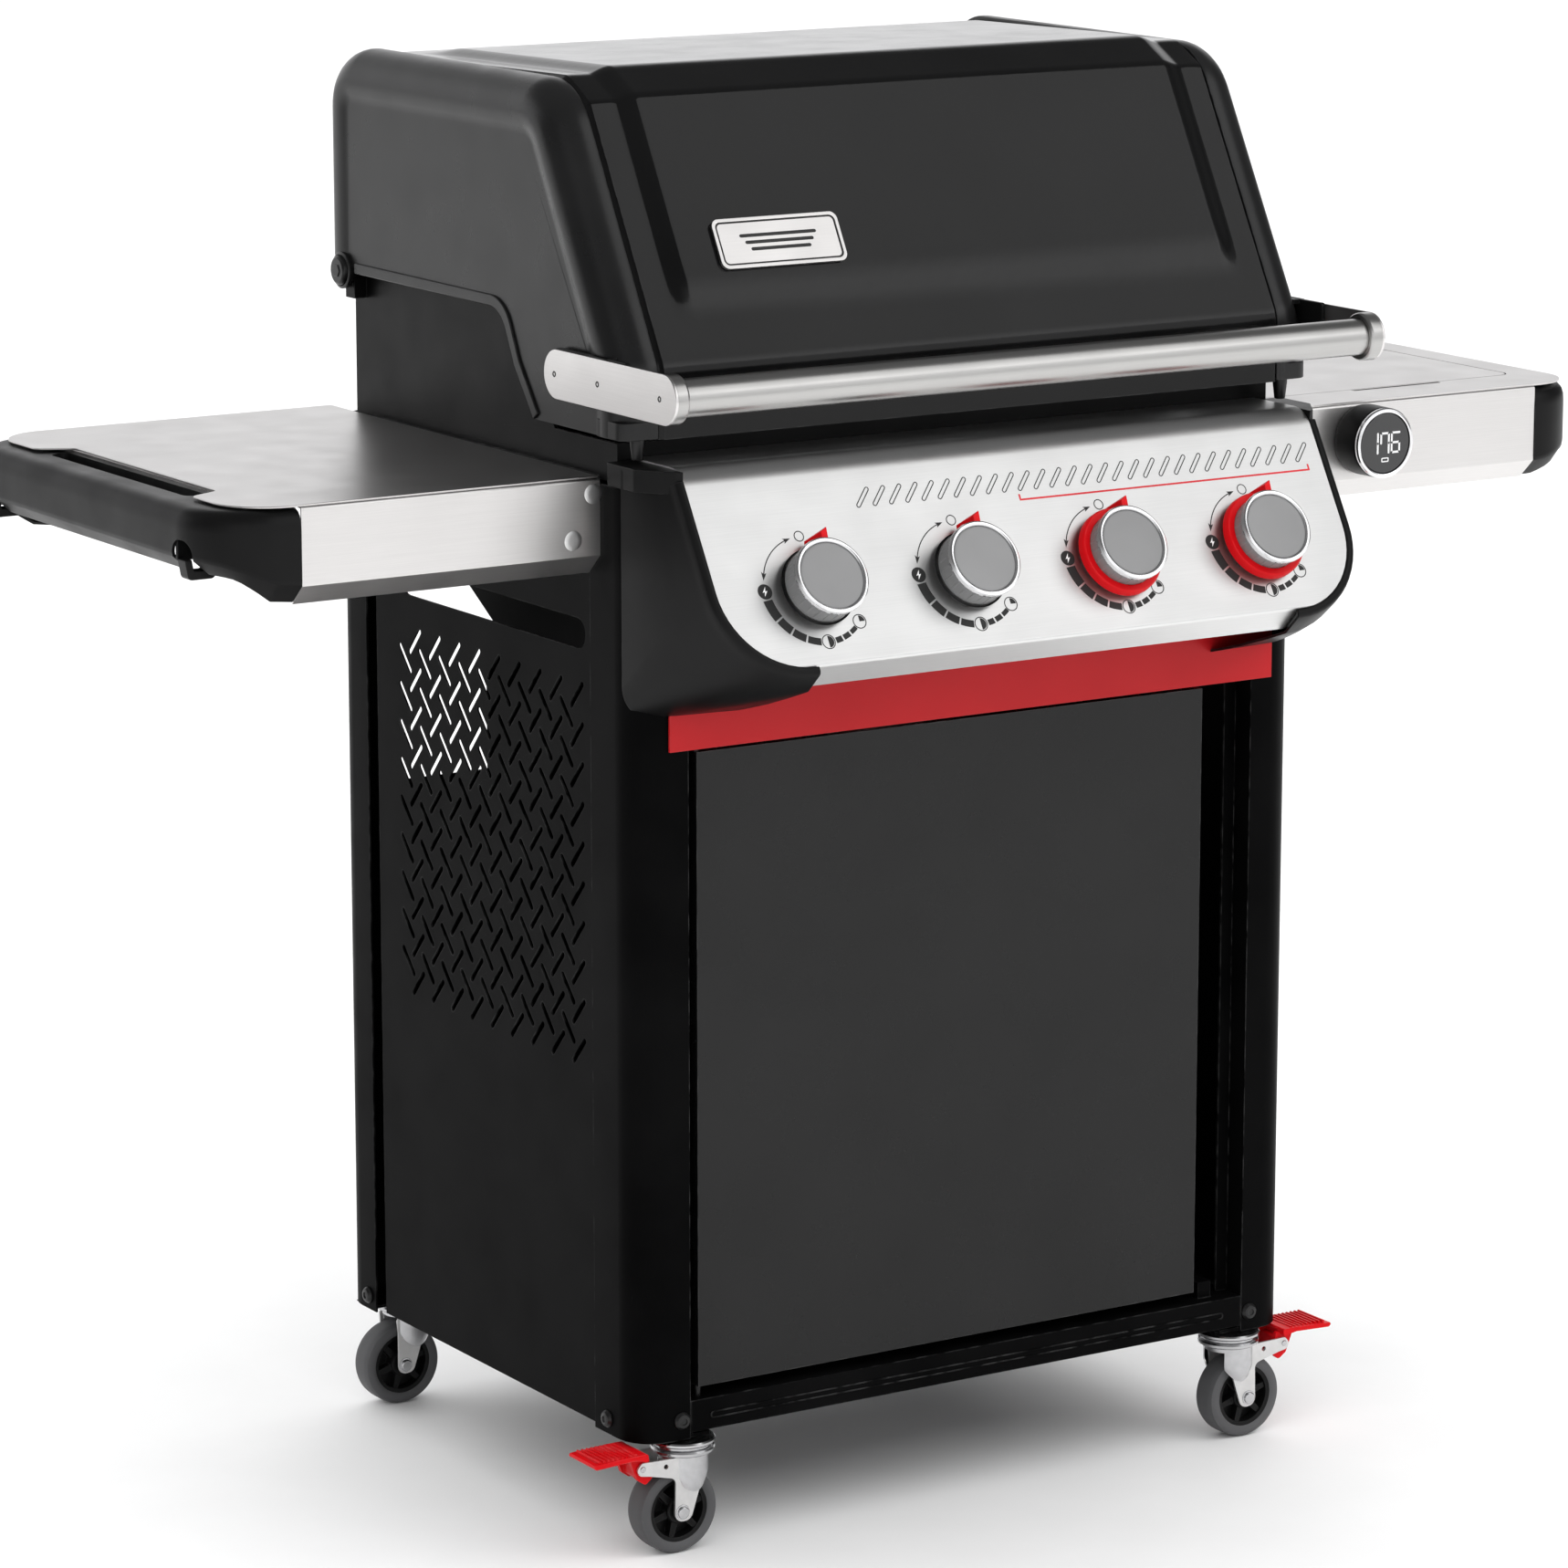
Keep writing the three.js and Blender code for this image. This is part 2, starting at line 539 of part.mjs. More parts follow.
// Cast grate: long bars front to back on three cross members.
function grate(side) {
  const x0 = 3;
  const x1 = 319;
  const count = 12;
  const pitch = (x1 - x0 - GRATE_BAR) / (count - 1);
  const bars = Array.from({ length: count }, (_, i) => {
    const x = x0 + i * pitch;
    return block(x, x + GRATE_BAR, BOX_FRONT + 5, BOX_REAR - 5, GRATE_Z, GRATE_Z + GRATE_HEIGHT);
  });
  const members = [BOX_FRONT + 5, -47, BOX_REAR - 15]
    .map((y) => block(x0, x1, y, y + 10, GRATE_Z, GRATE_Z + GRATE_HEIGHT - 3));
  const body = join(...bars, ...members);
  return side > 0 ? body : mirrored(body);
}

// Warming rack: wires on two rails whose ends rest on the side walls.
function warmingRack() {
  const z = 1062;
  const y0 = 50;
  const y1 = 145;
  const wire = 2.5;
  const half = BOX_HALF - 1.5;
  const rails = [y0, y1].map((y) => rodX(3, -half, half, y, z, 6));
  const count = 17;
  const wires = Array.from({ length: count }, (_, i) => {
    const x = -half + 20 + (i * 2 * (half - 20)) / (count - 1);
    return rodY(wire, y0, y1, x, z, 5);
  });
  const legs = [-1, 1].flatMap((side) => [y0, y1].map((y) =>
    block(side * half - 2, side * half + 2, y - 4, y + 4, BOX_SIDE_TOP + GAP, z + 2)));
  return join(...rails, ...wires, ...legs);
}

// Grease tray: a deep pan with a rim that runs on the firebox rails, pulled out to the rear.
function greaseTray() {
  const outline = new THREE.Shape([
    v2(-168, 690), v2(168, 690), v2(185, 746), v2(196, 746), v2(196, 750), v2(-196, 750), v2(-196, 746), v2(-185, 746),
  ]);
  const hollow = new THREE.Shape([v2(-165, 693), v2(165, 693), v2(184, 760), v2(-184, 760)]);
  const pull = block(-60, 60, 168, 196, 722, 725);
  return join(cut(alongY(outline, -190, 172), alongY(hollow, -187, 169)), pull);
}

function dripPan() {
  const outer = block(-90, 90, -70, 70, 693 + GAP, 716);
  return cut(outer, block(-88, 88, -68, 68, 696, 720));
}

// ---------- gas line and controls, in the panel's own frame ----------
// Local x across the grill, y up the slope from the top edge, z out of the panel.
const controls = new THREE.Group();
controls.position.set(0, CONTROL_TOP.y, CONTROL_TOP.z);
controls.rotation.x = Math.PI / 2 - CONTROL_LEAN;
grill.add(controls);

function controlPoint(y, z) {
  const up = v2(Math.sin(CONTROL_LEAN), Math.cos(CONTROL_LEAN));
  const out = v2(-Math.cos(CONTROL_LEAN), Math.sin(CONTROL_LEAN));
  return v2(CONTROL_TOP.y + up.x * y + out.x * z, CONTROL_TOP.z + up.y * y + out.y * z);
}

// Supply rail with a bored valve body behind each knob and the inlet fitting at its left end.
function gasManifold() {
  const rail = rodX(10, -258, 258, -KNOB_DOWN, -70);
  const inlet = rodX(14, -272, -252, -KNOB_DOWN, -70, 6);
  const valves = KNOB_POSITIONS.map((x) => rodZ(12, -72, -24, x, -KNOB_DOWN));
  const bores = KNOB_POSITIONS.map((x) => rodZ(4.6, -52, -20, x, -KNOB_DOWN));
  const mouth = rodX(6, -280, -262, -KNOB_DOWN, -70);
  return cut(join(rail, inlet, ...valves), ...bores, mouth);
}

function valveStem() {
  return join(rodZ(STEM_RADIUS, -STEM_DEPTH, KNOB_BASE + 9, 0, 0), rodZ(7, -18, -15, 0, 0));
}

function knobBody() {
  const r = KNOB_RADIUS;
  const bore = STEM_RADIUS + GAP;
  const profile = [
    v2(0, KNOB_FACE - 1), v2(r - 5, KNOB_FACE - 1), v2(r - 4, KNOB_FACE), v2(r - 1, KNOB_FACE), v2(r, KNOB_FACE - 2),
    v2(r - 1, KNOB_FACE - 5), v2(r - 3, KNOB_FACE - 6), v2(r - 2, KNOB_BASE + 4), v2(r + 1, KNOB_BASE + 3),
    v2(r + 2, KNOB_BASE), v2(bore, KNOB_BASE), v2(bore, KNOB_BASE + 10), v2(0, KNOB_BASE + 10),
  ];
  const turned = new THREE.LatheGeometry(profile.reverse(), 24).rotateX(Math.PI / 2);
  const flag = new THREE.Shape([v2(-5, r - 6), v2(5, r - 6), v2(6, r + 11), v2(-4, r + 11)]);
  return join(turned, alongZ(flag, KNOB_BASE + 2, KNOB_BASE + 10));
}

function panelOutline(grow) {
  const half = CONTROL_HALF + grow;
  const corners = [v2(-half, -CONTROL_HEIGHT - grow), v2(half, -CONTROL_HEIGHT - grow), v2(half, 0), v2(-half, 0)];
  const radius = CONTROL_CORNER + grow;
  return new THREE.Shape(rounded(corners, [radius, radius, 0, 0], true, 8));
}

// Moves a geometry drawn in the control panel's own frame to its place on the grill.
function ontoPanel(geometry) {
  return geometry.rotateX(controls.rotation.x).translate(0, CONTROL_TOP.y, CONTROL_TOP.z);
}

// The part of the slope that is cut away below a rounded lower corner.
function cornerWaste(side) {
  const r = CONTROL_CORNER;
  const corner = v2(CONTROL_HALF, -CONTROL_HEIGHT);
  const arc = rounded([v2(corner.x - 2 * r, corner.y), corner, v2(corner.x, corner.y + 2 * r)], r, false, 8).slice(1, -1);
  const outside = [v2(corner.x + 9, corner.y + r), v2(corner.x + 9, corner.y - r), v2(corner.x - r, corner.y - r)];
  const waste = ontoPanel(alongZ(new THREE.Shape([...arc, ...outside]), -60, 20));
  return side > 0 ? waste : mirrored(waste);
}

// Stainless control panel: flat top, roll, sloping face and turned-under lower lip in one sheet.
function controlPanel() {
  const low = controlPoint(0, 0);
  const rise = (CONTROL_TOP_Z - low.y) * Math.tan(CONTROL_LEAN);
  const line = [
    v2(CONTROL_BACK, CONTROL_TOP_Z), v2(low.x + rise, CONTROL_TOP_Z),
    controlPoint(-CONTROL_HEIGHT, 0), v2(-411, 753),
  ];
  const sheet = alongX(sheetShape(line, [0, 15, 4, 0], 1.6, 5), -CONTROL_HALF, CONTROL_HALF);
  const stemHoles = KNOB_POSITIONS.map((x) => ontoPanel(rodZ(6.5, -9, 9, x, -KNOB_DOWN)));
  return cut(sheet, cornerWaste(-1), cornerWaste(1), ...stemHoles);
}

// Points of the control housing: its rear ring and its front ring on the panel plane.
function housingPoints(inset, half0) {
  const ring = [];
  const rear = CONTROL_BACK - 30 + (inset ? 30 : 0);
  const back = CART_HALF + 3 - inset;
  [[half0, 712 + inset], [310 - inset, 714 + inset], [330 - inset, 722 + inset], [back, 742 + inset],
    [back, 921 - inset]].forEach(([x, z]) => ring.push(new THREE.Vector3(x, rear, z)));
  ring.push(new THREE.Vector3(half0, rear, 924.5 - inset));
  ring.push(new THREE.Vector3(back - 6, rear, 924.5 - inset));
  const centre = v2(CONTROL_HALF + 4 - CONTROL_CORNER - 2, -CONTROL_HEIGHT + CONTROL_CORNER);
  const radius = CONTROL_CORNER + 2 - inset;
  for (let k = 0; k <= 8; k += 1) {
    const angle = -Math.PI / 2 + (k * Math.PI) / 16;
    const at = controlPoint(centre.y + radius * Math.sin(angle), -0.6 - inset);
    ring.push(new THREE.Vector3(centre.x + radius * Math.cos(angle), at.x, at.y));
  }
  const shoulder = controlPoint(-1, -0.6 - inset);
  ring.push(new THREE.Vector3(centre.x + radius, shoulder.x, shoulder.y));
  ring.push(new THREE.Vector3(centre.x + radius - 2, -338, 924.5 - inset));
  ring.push(new THREE.Vector3(half0, -338, 924.5 - inset));
  const bottom = controlPoint(-CONTROL_HEIGHT, -0.6 - inset);
  ring.push(new THREE.Vector3(half0, bottom.x, bottom.y));
  ring.push(new THREE.Vector3(half0, -411 + inset, 751 + inset));
  return ring;
}

// Moulded end cap of the control housing: side wall, rounded lower corner and underside.
function panelCap(side) {
  const inner = 238.5;
  const outer = new ConvexGeometry(housingPoints(0, inner));
  const hollow = new ConvexGeometry(housingPoints(4, inner - 20));
  const face = ontoPanel(alongZ(panelOutline(GAP), -9, 12));
  const topOpening = block(200, CONTROL_HALF + GAP, -370, -200, 850, 960);
  const lipOpening = block(200, CONTROL_HALF - CONTROL_CORNER + GAP, -440, -405, 740, 800);
  const legRelief = block(200, CART_HALF + 0.5, CART_FRONT - GAP, -200, 700, 906);
  const railRelief = block(200, RED_HALF + GAP, CART_FRONT - 3 - GAP, -200, 680, RED_TOP + GAP);
  const cap = cut(outer, hollow, face, topOpening, lipOpening, legRelief, railRelief);
  const largest = solid(cap).decompose().sort((a, b) => b.volume() - a.volume())[0];
  const body = geometryOf(largest);
  return side > 0 ? body : mirrored(body);
}

// ---------- lid ----------
function lidFrontY(z) {
  return LID_FRONT + Math.max(0, z - LID_BREAK_Z) * Math.tan(LID_LEAN);
}

// End casting's outline in (y, z), open downward so that its lower edge is cut separately.
function castingOutline(inset) {
  const top = LID_TOP - inset;
  const face = inset / Math.cos(LID_LEAN);
  const corners = [
    v2(LID_FRONT + inset, 870), v2(LID_REAR - inset, 870), v2(LID_REAR - inset, top),
    v2(lidFrontY(top) + face, top), v2(LID_FRONT + inset, LID_BREAK_Z + inset * 0.26),
  ];
  const radii = [0, 0, 50 - inset, 46 - inset, 60];
  return new THREE.Shape(rounded(corners, radii, true, 6));
}

// Extrudes an outline toward +X and rounds the edge at its outer end.
function roundedEnd(outline, x0, x1, radius) {
  const lead = radius + 20;
  const depth = x1 - x0 + lead - 2 * radius;
  const geometry = new THREE.ExtrudeGeometry(outline, {
    depth, bevelEnabled: true, bevelThickness: radius, bevelSize: radius, bevelOffset: -radius, bevelSegments: 3,
  });
  const turn = new THREE.Matrix4().makeBasis(
    new THREE.Vector3(0, 1, 0), new THREE.Vector3(0, 0, 1), new THREE.Vector3(1, 0, 0));
  geometry.applyMatrix4(turn).translate(x1 - depth - radius, 0, 0);
  return common(geometry, block(x0, x1 + 1, -600, 600, 0, 2000));
}

function lidCasting(side) {
  const outer = roundedEnd(castingOutline(0), LID_SEAM + GAP / 2, LID_HALF, CASTING_ROUND);
  const inner = roundedEnd(castingOutline(CASTING_WALL), LID_SEAM - 6, LID_HALF - CASTING_WALL, CASTING_ROUND - 4);
  const lowerEdge = [
    v2(-420, 840), v2(-420, LID_BOTTOM), v2(-158, LID_BOTTOM), v2(-127, 987), v2(-104, 1032),
    v2(150, 1032), v2(162, 1046), v2(320, 1046), v2(320, 840),
  ].reverse();
  const radii = [0, 0, 0, 0, 26, 30, 0, 0, 0];
  const below = alongX(new THREE.Shape(rounded(lowerEdge, radii, true, 5)), 200, 400);
  const lug = rodX(15, LID_HALF - CASTING_WALL, LID_HALF, HINGE.y, HINGE.z, 20);
  const stop = rodZ(5, CONTROL_TOP_Z + 1.5, LID_BOTTOM + 8, LID_HALF - 24, LID_FRONT + 4.5, 10);
  const pinHole = rodX(5.6, LID_HALF - 12, LID_HALF + 8, HINGE.y, HINGE.z);
  const body = cut(join(cut(outer, inner, below), lug, stop), pinHole);
  return side > 0 ? body : mirrored(body);
}

// Lid shell: one bent sheet from the rear edge over the top and down the sloping face.
function lidShell() {
  const face = 2;
  const line = [
    v2(LID_REAR - face, 1046), v2(LID_REAR - face, LID_TOP - 8), v2(-156, LID_TOP + 7),
    v2(lidFrontY(1208) + face, 1208), v2(LID_FRONT + face, LID_BREAK_Z), v2(LID_FRONT + face, LID_BOTTOM),
  ];
  const section = sheetShape(line, [0, 48, 14, 10, 40, 0], 2.2, 5);
  return alongX(section, -LID_SEAM + GAP / 2, LID_SEAM - GAP / 2);
}

function handleBracket(side) {
  const { y, z } = HANDLE;
  const x0 = LID_HALF + GAP;
  const r = BRACKET_RADIUS;
  const stadium = new THREE.Shape();
  stadium.absarc(y, z, r, Math.PI / 2, (3 * Math.PI) / 2, false);
  stadium.absarc(BRACKET_REAR, z, r, -Math.PI / 2, Math.PI / 2, false);
  const plate = alongX(stadium, BRACKET_FACE - 2.6, BRACKET_FACE, 10);
  const packing = block(x0, BRACKET_FACE - 1, -268, BRACKET_REAR, z - 15, z + 15);
  const collar = rodX(r - 0.4, HANDLE_HALF - 8.5, BRACKET_FACE - 1, y, z, 20);
  const socket = rodX(HANDLE_RADIUS + GAP, HANDLE_HALF - 12, HANDLE_HALF + GAP, y, z, 20);
  const body = cut(join(plate, packing, collar), socket);
  return side > 0 ? body : mirrored(body);
}

function hingePin(side) {
  const pin = join(rodX(5, 327, LID_HALF + 1, HINGE.y, HINGE.z), rodX(13, LID_HALF + GAP, LID_HALF + 5, HINGE.y, HINGE.z, 16));
  return side > 0 ? pin : mirrored(pin);
}

// ---------- side tables ----------
// Top sheet with front and rear aprons and their turned-in lower lips.
function tableSheet(seam, apron, outerEdge, holes) {
  const lip = 17;
  const line = [
    v2(TABLE_FRONT + 18, apron - lip), v2(TABLE_FRONT, apron), v2(TABLE_FRONT, TABLE_TOP),
    v2(TABLE_REAR, TABLE_TOP), v2(TABLE_REAR, apron), v2(TABLE_REAR - 18, apron - lip),
  ];
  const trough = alongX(sheetShape(line, [0, 0, 3, 3, 0, 0], -SHEET, 2), TABLE_IN, seam);
  const x0 = seam - 20;
  const corners = [
    v2(x0, TABLE_FRONT + 4), v2(outerEdge, TABLE_FRONT + 4), v2(outerEdge, TABLE_REAR - 4), v2(x0, TABLE_REAR - 4)];
  const leaf = alongZ(new THREE.Shape(rounded(corners, [0, 50, 50, 0], true, 5)), TABLE_TOP - SHEET, TABLE_TOP);
  return cut(join(trough, leaf), ...holes);
}

// Moulded end cap: a rounded U wall with a top skin under the table's sheet.
function tableCap(seam, apron) {
  const outline = (inset, x0) => new THREE.Shape(rounded(
    [v2(x0, TABLE_FRONT - 1 + inset), v2(TABLE_OUT - inset, TABLE_FRONT - 1 + inset),
      v2(TABLE_OUT - inset, TABLE_REAR + 1 - inset), v2(x0, TABLE_REAR + 1 - inset)],
    [0, TABLE_CORNER - inset, TABLE_CORNER - inset, 0], true, 6));
  const skinTop = TABLE_TOP - SHEET - GAP;
  const body = alongZ(outline(0, seam + GAP), apron - 4, skinTop);
  return cut(body, alongZ(outline(5, seam - 10), apron - 20, skinTop - 5));
}

function leftTable() {
  const slot = block(LEFT_SEAM + 20, 700, -151, 104, TABLE_TOP - 6, TABLE_TOP + 4);
  return mirrored(tableSheet(LEFT_SEAM, LEFT_APRON, 664, [slot]));
}

// The left cap has the tool slot and two hooks below its outer wall.
function leftCap() {
  const slot = alongZ(rectangle(LEFT_SEAM + 22, 657, -146, 98, 8), TABLE_TOP - 12, TABLE_TOP + 2);
  const hooks = [-206, 150].flatMap((y) => [
    block(670, 688, y - 7, y + 7, LEFT_APRON - 12, LEFT_APRON - 3),
    block(682, TABLE_OUT - 1, y - 7, y + 7, LEFT_APRON - 12, LEFT_APRON + 2),
    block(668, 674, y - 7, y + 7, LEFT_APRON - 12, TABLE_TOP - 7),
  ]);
  return mirrored(cut(join(tableCap(LEFT_SEAM, LEFT_APRON), ...hooks), slot));
}

// Right table: a storage well under a flush hinged cover.
function rightTable() {
  const g = 0.8;
  const opening = rectangle(COVER.x0 - g, COVER.x1 + g, COVER.y0 - g, COVER.y1 + g, COVER.radius + g);
  const hole = alongZ(opening, TABLE_TOP - 8, TABLE_TOP + 4);
  const notch = block(468, 566, COVER.y0 - 8, COVER.y0 + 4, TABLE_TOP - 8, TABLE_TOP + 4);
  const sheet = tableSheet(RIGHT_SEAM, RIGHT_APRON, 684, [hole, notch]);
  const wallOuter = alongZ(rectangle(COVER.x0 - 12, 625, COVER.y0 - 12, COVER.y1 + 10), 866, TABLE_TOP - 1);
  const wallInner = alongZ(rectangle(COVER.x0 - 10, 623, COVER.y0 - 10, COVER.y1 + 8), 868, TABLE_TOP + 2);
  const underCover = block(620, 630, COVER.y0 - 9, COVER.y1 + 7, TABLE_TOP - SHEET - GAP, TABLE_TOP + 4);
  return join(sheet, cut(wallOuter, wallInner, underCover));
}

function rightCap() {
  const clear = block(RIGHT_SEAM - 10, COVER.x1 + 6, COVER.y0 - 12, COVER.y1 + 12, TABLE_TOP - 14, TABLE_TOP + 2);
  return cut(tableCap(RIGHT_SEAM, RIGHT_APRON), clear);
}

function tableCover() {
  const outline = rectangle(COVER.x0, COVER.x1, COVER.y0, COVER.y1, COVER.radius);
  return alongZ(outline, TABLE_TOP - SHEET, TABLE_TOP + 0.2);
}

const DISPLAY = { x: 437, z: 879, radius: 31, face: -291 };

function displayHousing() {
  const { x, z, radius, face } = DISPLAY;
  const body = rodY(radius, face + 1, TABLE_FRONT - GAP, x, z, 28);
  return cut(body, rodY(radius - 4, face - 1, face + 9, x, z, 28));
}

function displayButton() {
  const { x, z, radius, face } = DISPLAY;
  return rodY(radius - 4 - GAP, face, face + 6, x, z, 28);
}

// ---------- assembly ----------
[[-1, 'left'], [1, 'right']].forEach(([side, name]) => {
  piece(`side_panel_${name}`, sidePanel(side), cartBlack);
  piece(`leg_front_${name}`, frontLeg(side), cartBlack);
  piece(`leg_rear_${name}`, rearLeg(side), cartBlack);
  piece(`grate_${name}`, grate(side), castIron);
  piece(`panel_cap_${name}`, panelCap(side), plasticBlack);
  piece(`lid_casting_${name}`, lidCasting(side), castBlack);
  piece(`handle_bracket_${name}`, handleBracket(side), brushed);
  piece(`lid_hinge_pin_${name}`, hingePin(side), castBlack);
});
piece('bottom_rail', frontBottomRail(), cartBlack);
piece('bottom_shelf', bottomShelf(), cartBlack);
piece('rear_panel', rearPanel(), cartBlack);
piece('rear_crossbar', rearCrossbar(), cartBlack);
piece('red_rail', redRail(), redPaint);
piece('door', doorPan(), doorGrey);
piece('firebox', fireboxTub(), castBlack);
piece('heat_bars', heatBars(), burnerSteel);
piece('warming_rack', warmingRack(), zinc);
piece('grease_tray', greaseTray(), aluminium);
piece('drip_pan', dripPan(), aluminium);
piece('control_panel', controlPanel(), stainless);
piece('gas_manifold', gasManifold(), brass, controls);
piece('lid_shell', lidShell(), enamelBlack);
piece('lid_handle', rodX(HANDLE_RADIUS, -HANDLE_HALF, HANDLE_HALF, HANDLE.y, HANDLE.z, 20), brushed);
piece('side_table_left', leftTable(), stainless);
piece('table_cap_left', leftCap(), plasticBlack);
piece('side_table_right', rightTable(), stainless);
piece('table_cap_right', rightCap(), plasticBlack);
piece('table_cover', tableCover(), stainless);
piece('display_housing', displayHousing(), plasticBlack);
piece('display_button', displayButton(), glassBlack);

KNOB_POSITIONS.forEach((x, i) => {
  const number = i + 1;
  piece(`burner_${number}`, burner(x), burnerSteel);
  piece(`valve_stem_${number}`, valveStem(), brass, controls).position.set(x, -KNOB_DOWN, 0);
  piece(`knob_${number}`, knobBody(), knobGrey, controls).position.set(x, -KNOB_DOWN, 0);
});

addCaster('front_left', -CASTER_X, CASTER_FRONT, -1, true);
addCaster('front_right', CASTER_X, CASTER_FRONT, 1, true);
addCaster('rear_left', -CASTER_X, CASTER_REAR, -1, false);
addCaster('rear_right', CASTER_X, CASTER_REAR, 1, false);

// The frame's origin is the middle of the footprint, on the ground.
const bounds = new THREE.Box3().setFromObject(grill, true);
grill.position.y = -(bounds.min.y + bounds.max.y) / 2;

export default grill;
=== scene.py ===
import math

import bmesh
import bpy
from mathutils import Matrix, Vector, geometry


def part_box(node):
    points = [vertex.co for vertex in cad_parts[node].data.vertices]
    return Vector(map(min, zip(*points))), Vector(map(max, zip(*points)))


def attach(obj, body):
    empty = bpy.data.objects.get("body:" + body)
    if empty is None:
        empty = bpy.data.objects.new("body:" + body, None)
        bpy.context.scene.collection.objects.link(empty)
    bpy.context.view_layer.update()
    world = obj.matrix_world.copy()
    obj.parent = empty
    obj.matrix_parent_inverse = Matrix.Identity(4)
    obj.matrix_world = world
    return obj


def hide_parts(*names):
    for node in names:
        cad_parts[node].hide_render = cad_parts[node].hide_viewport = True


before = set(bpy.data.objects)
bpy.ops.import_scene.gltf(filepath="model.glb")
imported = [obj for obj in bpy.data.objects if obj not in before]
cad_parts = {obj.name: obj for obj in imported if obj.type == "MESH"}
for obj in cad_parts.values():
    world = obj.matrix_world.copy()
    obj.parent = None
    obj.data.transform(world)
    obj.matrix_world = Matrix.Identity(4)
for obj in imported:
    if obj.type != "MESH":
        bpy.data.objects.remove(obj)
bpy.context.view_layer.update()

# Lengths below are millimetres in the grill's own drawing, whose Y = 0 lies 49 mm behind the
# cart's middle. The frame has its origin at the middle of the footprint, so drawings move by SHIFT_Y.
MM = 0.001
SIDES = ((-1, "left"), (1, "right"))

# The cart: half its width and its front and rear faces.
CART_HALF = 336
CART_FRONT = -306
CART_REAR = 208
SHIFT_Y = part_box("leg_rear_left")[1].y - CART_REAR * MM

# The control panel's plane: its top edge, its lean from the vertical, its height along the slope.
PANEL_TOP = (-343, 920)
PANEL_LEAN = math.radians(30.8)
PANEL_HEIGHT = 171
PANEL_HALF = 312
PANEL_CORNER = 70
KNOB_V = -106.5
KNOB_X = [n * 147.3 for n in (-1.5, -0.5, 0.5, 1.5)]

# Casters: wheel radius, and where wheels and swivels stand.
WHEEL_RADIUS = 37.5
WHEEL_X = 293.5
SWIVEL_X = 283
CASTER_ROWS = ((-290, "front"), (192, "rear"))

# Dials: the ring of marks, and the thickness of the print on the sheet.
DIAL_RADIUS = 45.9
PRINT = (0.02, 0.14)

# Lid: lean of its face, the fold at the foot of the face, and the axes of hinge and handle, in (y, z).
LID_ANGLE = math.radians(29.4)
LID_LEAN = math.tan(LID_ANGLE)
LID_BREAK = (-306, 1002)
SHELL_HALF = 308.2
HINGE = (171, 1034)
HANDLE = (-378.5, 990)
HANDLE_RADIUS = 15.6

# Side tables: front and rear edges, top, inner end, end of the caps, and the display's centre.
TABLE_FRONT = -258
TABLE_REAR = 207
TABLE_TOP = 912
TABLE_START = 338.5
TABLE_END = 692
LIP_DEPTH = 17
TOOL_SLOT_X = 634
DISPLAY = (437, 879)


# ---------------------------------------------------------------- drawing planes
def plane_x(u, v, w):
    return (w, u, v)


def plane_y(u, v, w):
    return (u, w, v)


def plane_z(u, v, w):
    return (u, v, w)


def plane_panel(u, v, w):
    """u across, v up the slope from the panel's top edge, w out of the panel."""
    y = PANEL_TOP[0] + math.sin(PANEL_LEAN) * v - math.cos(PANEL_LEAN) * w
    z = PANEL_TOP[1] + math.cos(PANEL_LEAN) * v + math.sin(PANEL_LEAN) * w
    return (u, y, z)


def facing(plane, start, way):
    """The plane with w measured from start, forward or backward along its normal."""
    return lambda u, v, w: plane(u, v, start + way * w)


# ---------------------------------------------------------------- outlines
def rounded(points, radii, closed=True, steps=6):
    """The polygon with each corner replaced by an arc of its radius."""
    if not isinstance(radii, (list, tuple)):
        radii = [radii] * len(points)
    out, count = [], len(points)
    for i, corner in enumerate(points):
        radius = radii[i]
        if radius <= 0 or (not closed and i in (0, count - 1)):
            out.append(tuple(corner))
            continue
        p = Vector(corner)
        to_a = (Vector(points[i - 1]) - p).normalized()
        to_b = (Vector(points[(i + 1) % count]) - p).normalized()
        half = math.acos(max(-1.0, min(1.0, to_a.dot(to_b)))) / 2
        centre = p + (to_a + to_b).normalized() * (radius / math.sin(half))
        start = p + to_a * (radius / math.tan(half)) - centre
        end = p + to_b * (radius / math.tan(half)) - centre
        sweep = math.atan2(start.x * end.y - start.y * end.x, start.dot(end))
        for k in range(steps + 1):
            a = sweep * k / steps
            c, s = math.cos(a), math.sin(a)
            out.append((centre.x + start.x * c - start.y * s, centre.y + start.x * s + start.y * c))
    return out


def offset_line(points, distance):
    """An open line moved sideways, to its left for a positive distance."""
    out = []
    for i, point in enumerate(points):
        p = Vector(point)
        a = p - Vector(points[i - 1]) if i else Vector(points[1]) - p
        b = Vector(points[i + 1]) - p if i < len(points) - 1 else a
        n_a = Vector((-a.y, a.x)).normalized()
        n_b = Vector((-b.y, b.x)).normalized()
        mitre = (n_a + n_b).normalized()
        out.append(tuple(p + mitre * (distance / max(0.3, mitre.dot(n_a)))))
    return out


def polar(cu, cv, radius, angle):
    return (cu + radius * math.cos(angle), cv + radius * math.sin(angle))


def rotated(points, angle):
    c, s = math.cos(angle), math.sin(angle)
    return [(c * u - s * v, s * u + c * v) for u, v in points]


def rectangle(a0, a1, b0, b1, radius=0, steps=5):
    return rounded([(a0, b0), (a1, b0), (a1, b1), (a0, b1)], radius, True, steps)


def circle(cu, cv, radius, steps=32):
    return [polar(cu, cv, radius, k * 2 * math.pi / steps) for k in range(steps)]


